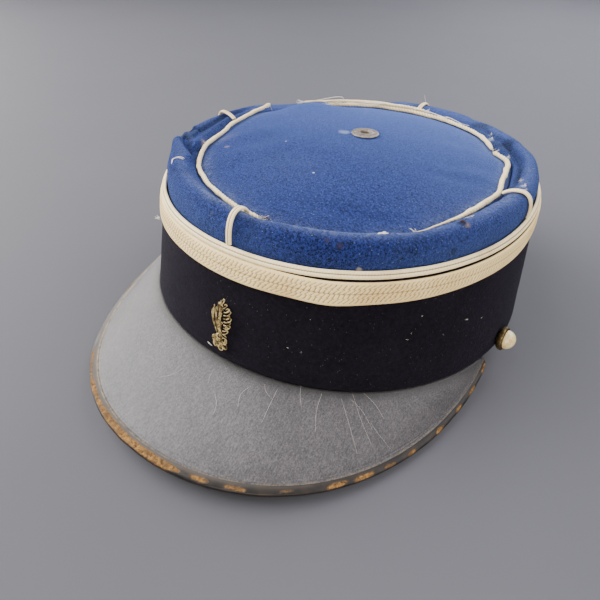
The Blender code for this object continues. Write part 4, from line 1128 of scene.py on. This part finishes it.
# A painted highlight greys the upper face at the right horn, and on the inner half as far as the left front.
grey = 0.80 * np.exp(-((centre + 72.0) / 24.0) ** 2)[None, :] * above
inner_half = np.exp(-((place_across + 0.95) / 0.30) ** 2) * above
inner_painted_highlight = 0.60 * inner_half * np.exp(-((centre + 40.0) / 62.0) ** 4)[None, :]
grey = np.maximum(grey * (place_across < -0.2), inner_painted_highlight)
rubbed = rubbed * (0.30 + 0.75 * edge_bias) + 0.03
obj = skin("peak_binding", points[:, ::-1], binding_leather, (True, False),
           (run[None, ::-1] + 0 * edge_bias, place_across * BINDING_WIDTH + 0 * run[None]),
           (rubbed[:, ::-1], grey[:, ::-1]))
fit(cap_ends(obj), "worn_binding_leather", "peak_binding")

# The side buttons: a dished brass cup against the band, and a domed button like old ivory in it,
# one on each side just above the rim.
BUTTON_ANGLE, BUTTON_HEIGHT = radians(82.0), 0.0038
BUTTON_DIAMETER, BUTTON_CUP_HEIGHT, BUTTON_DOME_DIAMETER = 0.0110, 0.0030, 0.0088

# Tarnished brass: brown film over yellow metal that shows through in patches.
brass, graph, shader = finish("tarnished_brass_cup", Metallic=0.9)
place = solid_place(graph)
film = grain(graph, place, 0.0009, 4.0, 0.7)
metal = blend(graph, between(graph, film, 0.38, 0.66), linear("#7d6a45"), linear("#2a2218"))
painted(graph, shader, metal)
roughened(graph, shader, between(graph, film, 0.3, 0.7, 0.35, 0.65))
raised(graph, shader, film, 0.0001, 0.6)

# Polished casein, the colour of old ivory: glossy, a little clouded, with fine scratches.
ivory, graph, shader = finish("polished_ivory_casein", IOR=1.54, Subsurface_Weight=0.15,
                              Subsurface_Scale=0.002, Coat_Weight=0.3, Coat_Roughness=0.12)
place = solid_place(graph)
cloud = grain(graph, place, 0.0016, 4.0)
bone = blend(graph, between(graph, cloud, 0.35, 0.7), linear("#d9bd7c"), linear("#fbeabc"))
painted(graph, shader, bone)
roughened(graph, shader, between(graph, cloud, 0.3, 0.7, 0.18, 0.34))
raised(graph, shader, grain(graph, place, 0.0004, 3.0), 0.00003, 0.4)

for side, name in ((1.0, "button_left"), (-1.0, "button_right")):
    angle = side * BUTTON_ANGLE
    level = BUTTON_HEIGHT / rim_rise
    here = Vector(wall(angle, level))
    ahead = Vector(wall(angle + 0.02, level) - wall(angle - 0.02, level))
    rise = Vector(wall(angle, level + 0.05) - wall(angle, level - 0.05))
    out = ahead.cross(rise).normalized()
    turn = out.to_track_quat("Z", "Y").to_matrix().to_4x4()
    stand = CLEARANCE + FACET_SAG
    cup, height, ball = BUTTON_DIAMETER / 2, BUTTON_CUP_HEIGHT, BUTTON_DOME_DIAMETER / 2
    seat = ball * 0.55
    profile = ((0.0, height * 0.35), (seat, height * 0.35), (ball + CLEARANCE, height * 0.82),
               (ball + CLEARANCE * 2, height * 0.98), (cup * 0.96, height * 0.92), (cup, height * 0.72),
               (cup * 0.98, height * 0.35), (cup * 0.8, 0.0), (0.0, 0.0))
    rim = turned(name + "_rim", profile, Matrix.Translation(here + out * stand) @ turn, brass)
    fit(rim, "tarnished_brass", name + "_rim")
    dome = [(0.0, ball * 0.96)]
    dome += [(ball * cos(radians(d)), ball * 0.96 * sin(radians(d))) for d in range(82, 0, -10)]
    low = height * 0.35 + CLEARANCE - height
    dome += [(ball * 0.98, 0.0), (seat - CLEARANCE, low), (0.0, low)]
    spot = Matrix.Translation(here + out * (stand + height))
    fit(turned(name + "_dome", dome, spot @ turn, ivory), "ivory_button", name + "_dome")

# The ornament: a plain flaming ball in bullion, fine gilt wire wound into springy tubes that are
# cut and couched down over a pad. The gilding has browned, and loose tips stand off on the left.
BADGE_BOTTOM, BADGE_SET_LEFT = 0.0040, 0.0015
BULLION, WIRE = 0.00054, 0.00024
BULLION_SIDES, STEPS_A_TURN, CURL_SHRINK = 8, 22, 0.62

# Gilt wire: yellow metal, browned in patches, and painted shade near black between the turns.
gilt, graph, shader = finish("browned_gilt_wire", Metallic=0.60)
laid = stored(graph, "lay")
place = solid_place(graph)
relief = split(graph, laid).outputs["Z"]
patina = grain(graph, place, 0.0009, 4.0, 0.7)
gold = blend(graph, between(graph, patina, 0.42, 0.60), linear("#ffe9a6"), linear("#6e5020"))
# Painted shade: near black where the relief is low, between the turns.
gold = blend(graph, between(graph, relief, 0.1, 0.8, 0.95, 0.0), gold, linear("#1b120a"))
painted(graph, shader, gold)
roughened(graph, shader, between(graph, patina, 0.3, 0.7, 0.26, 0.5))

angle = 2.0 * BADGE_SET_LEFT / RIM_WIDTH
low, high = Vector(wall(angle, 0.0)), Vector(wall(angle, 0.5))
up = (high - low).normalized()
across = Vector(wall(angle + 0.05, 0.0) - wall(angle - 0.05, 0.0)).normalized()
out = across.cross(up).normalized()
across = up.cross(out)
base = low + out * CLEARANCE + up * BADGE_BOTTOM


def through(knots, count):
    """A smooth line through a few points."""
    knots = np.array(knots, float)
    far = lengths(knots)
    at = np.linspace(0.0, far[-1], count)
    ways = np.gradient(knots, far, axis=0)
    k = np.clip(np.searchsorted(far, at, side="right") - 1, 0, len(knots) - 2)
    span = (far[k + 1] - far[k])[:, None]
    u = (at - far[k])[:, None] / span
    return bridge(u, knots[k], knots[k + 1], ways[k] * span, ways[k + 1] * span)


def bullion(lines):
    """Wire tubes along lines of side, up and out, as the mesh data of one piece."""
    grids = []
    for line in lines:
        flat = np.array(line) / 1000.0
        middle = np.array(base) + flat @ np.array([across, up, out])
        count = max(int(lengths(middle)[-1] / (WIRE / 5)), 12)
        middle = through(middle, count)
        wide, rise = frames(middle, np.tile(np.array(out), (count, 1)))
        turn = np.linspace(0.0, 2 * pi, BULLION_SIDES + 1)[:, None]
        run = lengths(middle)[None, :]
        wound = 0.5 + 0.5 * np.cos(2 * pi * run / WIRE + turn)
        left = np.clip(np.minimum(run, run.max() - run) / BULLION, 0.05, 1)
        radius = BULLION / 2 * (0.70 + 0.30 * wound) * left ** 0.4
        points = tube(middle, wide, rise, radius * np.cos(turn), radius * np.sin(turn))
        grids.append((points, (run + 0 * turn, turn * BULLION / 2 + 0 * run, wound)))
    return grids


def join(name, grids, material):
    """Several tubes as one piece."""
    parts = [cap_ends(skin(name, points, material, (True, False), lay)) for points, lay in grids]
    with bpy.context.temp_override(active_object=parts[0], selected_editable_objects=parts):
        bpy.ops.object.join()
    parts[0].name = name
    return parts[0]


def curl(x, y, size, turns_made, start, dome):
    """A tube wound into a small rosette, in millimetres from the foot of the ball."""
    line, steps = [], STEPS_A_TURN * turns_made
    for k in range(int(steps)):
        swing = start + 2 * pi * k / STEPS_A_TURN
        away = size * (1.0 - CURL_SHRINK * k / steps)
        line.append((x + away * cos(swing), y + away * sin(swing), dome + 0.5 * k / steps))
    return line


ball = [curl(0.0, 4.7, 4.1, 1.0, 0.8, 0.5)]
middles = ((-2.1, 3.0), (0.5, 2.3), (2.5, 3.9), (2.0, 6.4), (-0.4, 7.3), (-2.6, 5.7))
for number, (x, y) in enumerate(middles):
    ball.append(curl(x, y, 1.65, 1.7, 1.1 * number, 1.0 + 0.1 * (number % 3)))
ball.append(curl(0.0, 4.7, 2.0, 2.0, 2.0, 1.9))
fit(join("badge_ball", bullion(ball), gilt), "gold_bullion", "badge_ball")

# The flame is a leaf: straight tubes on its left, and hooks that curl off them on its right.
draw = random.Random(5)


def leaf(height):
    """The flame's half width, in millimetres, at a height over the ball's foot."""
    return float(np.interp(height, (8.5, 10.5, 14.0, 18.0, 21.5, 25.0), (1.8, 3.3, 4.8, 5.0, 3.9, 0.9)))


flames = []
for k in range(6):
    inset = 0.98 - 0.19 * k
    tops = (19.2, 21.6, 20.4, 23.6, 22.4, 24.8)[k]
    flames.append([(-leaf(h) * inset + draw.uniform(-0.22, 0.22), h, 0.7 + 0.4 * (k % 2) + 0.05 * j)
                   for j, h in enumerate(np.linspace(8.9, tops, 6))])
for k in range(10):
    h, size = 9.3 + 1.50 * k, draw.uniform(0.80, 1.15)
    wide = leaf(h + 1.5) * draw.uniform(0.86, 1.06)
    flames.append([(0.30 * wide, h + 0.1, 1.3), (0.62 * wide, h + 0.6 * size, 1.7),
                   (0.92 * wide, h + 1.5 * size, 1.4), (0.98 * wide, h + 2.4 * size, 0.9),
                   (0.78 * wide, h + 2.7 * size, 1.1), (0.64 * wide, h + 2.0 * size, 1.5)])
    flames.append(curl(draw.uniform(-0.3, 0.9), h + draw.uniform(0.4, 1.0), draw.uniform(0.55, 0.80), 1.2,
                       draw.uniform(0.0, 6.0), 1.5))
fit(join("badge_flame", bullion(flames), gilt), "gold_bullion", "badge_flame")

# Loose threads and lint: what the cords and the felt have shed. Frayed silk at the cord's ends, a
# tuft at the braid's right edge, a wisp on the roll, lint on the felt and hairs lying on the peak.
# Loose fibre: pale silk and wool, charred brown ends and grey dust hair, mottled along their length.


def fibre_finish(name, size, dark, light, **sockets):
    """A fibre that goes from one colour to another and back, in lumps of that many metres."""
    made, graph, shader = finish(name, **sockets)
    painted(graph, shader, blend(graph, grain(graph, solid_place(graph), size), linear(dark), linear(light)))
    return made


lint_fibre = fibre_finish("loose_pale_fibre", 0.0008, "#cfc5b0", "#f4efe4", Roughness=0.7, Sheen_Weight=0.2)
brown_fibre = fibre_finish("charred_brown_fibre", 0.0006, "#0c0806", "#5c4028", Roughness=0.85)
dust_hair = fibre_finish("grey_dust_hair", 0.0015, "#8f8a84", "#d8d3c8", Roughness=0.6)


def hair(line, thickness, sides=5):
    """One fine fibre along a line, thinning to its ends."""
    count = max(8, int(lengths(np.array(line))[-1] / 0.0004))
    middle = through(line, count)
    wide, rise = frames(middle, np.tile([0.13, 0.21, 0.97], (count, 1)))
    turn = np.linspace(0.0, 2 * pi, sides + 1)[:, None]
    run = lengths(middle)[None, :]
    taper = 0.35 + 0.65 * np.sin(pi * np.clip(run / run.max(), 0.02, 0.98)) ** 0.4
    radius = thickness / 2 * taper
    points = tube(middle, wide, rise, radius * np.cos(turn), radius * np.sin(turn))
    return points, (run + 0 * turn, 0.0 * (run + turn), 0.8 + 0.0 * (run + turn))


def tuft(spot, way, count, length, spread, thickness, seed):
    """A frayed end: fibres that leave one spot and bend apart."""
    draw = random.Random(seed)
    grids = []
    for _ in range(count):
        bend = Vector(way).normalized() + Vector([draw.uniform(-1, 1) * spread for _ in range(3)])
        line = [Vector(spot) + Vector([draw.uniform(-1, 1) * thickness * 3 for _ in range(3)])]
        reach = length * draw.uniform(0.5, 1.0)
        for _ in range(4):
            line.append(line[-1] + bend.normalized() * reach / 4)
            bend += Vector([draw.uniform(-1, 1) * spread * 0.9 for _ in range(3)])
        grids.append(hair([tuple(p) for p in line], thickness * draw.uniform(0.7, 1.2)))
    return grids


def cord_end(degrees, diameter=PIPING_DIAMETER, lift=0.0):
    """The middle of the top cord at an angle."""
    return tuple(float(v) for v in piping_middle(np.array(radians(degrees)), diameter, lift))


FRAYED_ENDS = (
    # Where the top cord has frayed: angle, way, fibres, length, spread, thickness, seed. The last
    # two are the ends of the strand that lies over it.
    (4.2, (1.0, 0.1, 0.1), 12, 0.0050, 0.5, 0.00016, 1),
    (8.0, (-1.0, 0.2, 0.2), 9, 0.0030, 0.6, 0.00016, 2),
    (-58.0, (-1.0, -0.4, 0.3), 14, 0.0036, 0.6, 0.00012, 4),
    (49.5, (-1.0, -0.3, 0.2), 8, 0.0030, 0.5, 0.00013, 5),
    (127.0, (0.5, 1.0, 0.3), 9, 0.0024, 0.6, 0.00016, 6),
    (130.0, (0.5, -1.0, 0.3), 8, 0.0024, 0.6, 0.00016, 7),
    (226.0, (-1.0, -0.2, 0.0), 14, 0.0040, 0.35, 0.00016, 8),
    (238.0, (-1.0, -0.6, 0.0), 14, 0.0050, 0.3, 0.00014, 9),
    (178.0, (1.0, 0.0, 0.1), 12, 0.0036, 0.35, 0.00014, 10),
)
frays = []
for degrees, *rest in FRAYED_ENDS:
    on_top_cord = (LOOSE_END_DIAMETER, LOOSE_END_LIFT) if degrees in LOOSE_END[:2] else ()
    frays += tuft(cord_end(degrees, *on_top_cord), *rest)
# Strands that have worked out of the back cord.
draw = random.Random(21)
for _ in range(9):
    start = draw.uniform(150.0, 216.0)
    line = []
    for k in range(7):
        x, y, z = cord_end(start + (6 + 20 * draw.random()) * k / 6 + k)
        swing = draw.uniform(-0.0011, 0.0011)
        line.append((x * (1 + swing / 0.08), y * (1 + swing / 0.08), z + draw.uniform(0.0008, 0.0022)))
    frays.append(hair(line, draw.uniform(0.0003, 0.0006)))
braid_tip = wall(radians(-34.0), 0.97, CLEARANCE + BRAID_THICKNESS)
frays += tuft(tuple(braid_tip), (-1.0, -0.1, -0.2), 7, 0.0034, 0.30, 0.00018, 11)
wisp = [spot_on_roll(a, t, 0.0004) for a, t in ((-36.0, 0.72), (-38.5, 0.84), (-38.5, 1.0), (-37.5, 1.18))]
frays += [hair(wisp, 0.00045), hair([tuple(np.array(p) + 0.0004) for p in wisp[1:]], 0.0003)]
stray = Vector(spot_on_roll(182.0, 0.9))
bends = ((0.0, 0.0, 0.0), (-0.0006, 0.0006, 0.0030), (-0.0022, 0.001, 0.0056))
frays.append(hair([stray + Vector(bend) for bend in bends], 0.00012))
bead = base + across * -0.0042 + up * 0.0006 + out * 0.0008
frays += tuft(tuple(bead), (-1.0, -0.2, 0.3), 4, 0.0030, 0.25, 0.00012, 12)
# Lint caught in the right-hand folds, which are darkened by dirt and painted shade: angle, along and the
# number of fibres.
for number, (a, r, count) in enumerate((
        (139.0, 1.56, 12), (142.0, 1.40, 10), (122.0, 1.72, 11), (97.0, 1.34, 10),
        (92.0, 1.06, 12), (89.0, 0.95, 9), (64.5, 1.20, 9))):
    frays += tuft(spot_on_roll(a, r), (0.3, -0.2, 0.8), count, 0.0015, 1.0, 0.00009, 30 + number)
# Lint on the felt: angle, level and length.
for number, (a, level, reach) in enumerate((
        (46.5, 0.575, 0.0011), (49.5, 0.81, 0.0007), (63.0, 0.62, 0.0016), (69.2, 0.55, 0.0010),
        (56.7, 0.54, 0.0006), (47.4, 0.65, 0.0005), (21.6, 0.41, 0.0007), (18.2, 0.44, 0.0014),
        (23.1, 0.80, 0.0005))):
    spot = tuple(wall(radians(a), level, 0.0002))
    frays += tuft(spot, (0.8, 0.3, 0.2), 2, reach * 0.8, 0.6, 0.00012, 50 + number)
# A stitch left on the front crest.
stitch = [spot_on_roll(a, r, 0.0004) for a, r in ((37.2, 1.10), (38.0, 1.16), (38.8, 1.12), (39.8, 1.13))]
frays += [hair(stitch, 0.0008), hair([tuple(np.array(p) + 0.0004) for p in stitch[2:0:-1]], 0.0006)]
fit(join("loose_threads", frays, lint_fibre), "cream_cord")
knot = tuft(cord_end(5.4), (0.8, 0.3, 0.3), 16, 0.0030, 1.0, 0.0002, 13)
knot += tuft(cord_end(6.6), (0.8, -0.2, 0.2), 12, 0.0026, 1.0, 0.0002, 14)
knot += tuft(cord_end(128.4), (0.3, 0.8, 0.3), 8, 0.0016, 1.0, 0.00018, 15)
# Dark fibres at the hole on the roll, which also fill in the hole's shade.
knot += tuft(spot_on_roll(60.3, 1.03), (0.3, -0.2, 0.6), 22, 0.0012, 1.0, 0.00026, 16)
fit(join("frayed_knots", knot, brown_fibre), "dark_felt")

HAIRS_ON_PEAK = (
    # x and y of the points of each hair, in millimetres
    ((36.2, -92.0), (38.4, -95.8), (41.6, -99.5)),
    ((24.6, -100.2), (26.4, -102.2), (29.6, -103.3)),
    ((52.2, -87.8), (58.8, -92.6), (67.0, -98.7)),
    ((52.8, -82.1), (60.0, -85.0), (68.0, -87.6), (75.7, -88.3)),
    ((55.0, -85.7), (60.2, -86.0), (67.1, -88.5)),
    ((54.6, -83.4), (62.0, -88.8), (69.8, -92.8)),
    ((3.1, -106.1), (4.0, -109.4), (5.7, -112.4)),
    ((11.0, -114.1), (14.2, -116.8), (16.0, -120.4)),
    ((-47.0, -117.0), (-45.6, -117.4), (-44.4, -117.2)),
    ((45.0, -90.5), (47.0, -97.0), (50.8, -103.0)),
    ((-8.0, -112.0), (-10.0, -116.5), (-14.2, -120.4)),
    ((58.0, -80.5), (63.4, -80.9), (68.8, -82.6)),
    ((30.0, -99.0), (31.4, -106.0), (33.0, -112.4)),
    ((20.4, -104.0), (19.4, -108.6), (21.6, -112.8)),
)
face_flat = face.reshape(-1, 3)
hairs = []
for line in HAIRS_ON_PEAK:
    flat = through([(x / 1000, y / 1000, 0.0) for x, y in line], 9)
    laid_down = []
    for x, y, _ in flat:
        k = np.argmin((face_flat[:, 0] - x) ** 2 + (face_flat[:, 1] - y) ** 2)
        laid_down.append((x, y, float(face_flat[k, 2]) + 0.00012))
    laid_down = np.array(laid_down)
    for _ in range(12):
        laid_down[1:-1, 2] = laid_down[1:-1, 2] * 0.5 + (laid_down[:-2, 2] + laid_down[2:, 2]) * 0.25
    laid_down[:, 2] += 0.0003
    hairs.append(hair(laid_down, 0.00009, 4))
fit(join("hairs_on_peak", hairs, dust_hair), "black_leather")

# The camera, the floor and the lights: a plain matt table, a large soft window of light at the
# cap's right, as in a plain studio, and weaker ones above, in front and behind.
camera = put("camera", bpy.data.cameras.new("camera"))
camera.matrix_world = Matrix((
    (0.81928, -0.38634, 0.42371, 0.09868),
    (0.57312, 0.52879, -0.62603, -0.16592),
    (0.01780, 0.75573, 0.65465, 0.16051),
    (0.0, 0.0, 0.0, 1.0),
))
camera.data.sensor_width = 36.0
camera.data.lens = 27.256
camera.data.clip_start = 0.01
bpy.context.scene.camera = camera

paper, graph, shader = finish("matt_grey_card", Roughness=0.75, Specular_IOR_Level=0.3)
place = solid_place(graph)
tone = blend(graph, grain(graph, place, 0.05), linear("#54545a"), linear("#58585d"))
painted(graph, shader, tone)
mesh = bpy.data.meshes.new("floor")
mesh.from_pydata([(-3, -3, 0), (3, -3, 0), (3, 3, 0), (-3, 3, 0)], [], [(0, 1, 2, 3)])
mesh.materials.append(paper)
floor = put("floor", mesh)

world = bpy.data.worlds.new("studio")
world.use_nodes = True
air = world.node_tree.nodes["Background"]
air.inputs["Color"].default_value = linear("#e9ebf0")
air.inputs["Strength"].default_value = 0.30
bpy.context.scene.world = world
LIGHTS = (
    # name, place, size, power in watts, colour
    ("window", (-1.10, -0.20, 0.48), 1.2, 34.0, "#fffdf8"),
    ("ceiling", (-0.65, -0.30, 1.05), 0.9, 18.0, "#fdfcff"),
    ("front", (0.60, -1.10, 0.45), 1.0, 18.0, "#fff6ea"),
    ("back", (0.10, 1.20, 0.75), 1.1, 20.0, "#f4f6ff"),
    ("overhead", (0.75, 0.20, 0.85), 0.9, 9.0, "#fdfcff"),
)
for name, spot, size, power, colour in LIGHTS:
    lamp = bpy.data.lights.new(name, "AREA")
    lamp.size, lamp.energy, lamp.color = size, power, linear(colour)[:3]
    lamp_object = put(name, lamp)
    lamp_object.location = spot
    aim = Vector((0.0, 0.0, 0.03)) - Vector(spot)
    lamp_object.rotation_euler = aim.to_track_quat("-Z", "Y").to_euler()
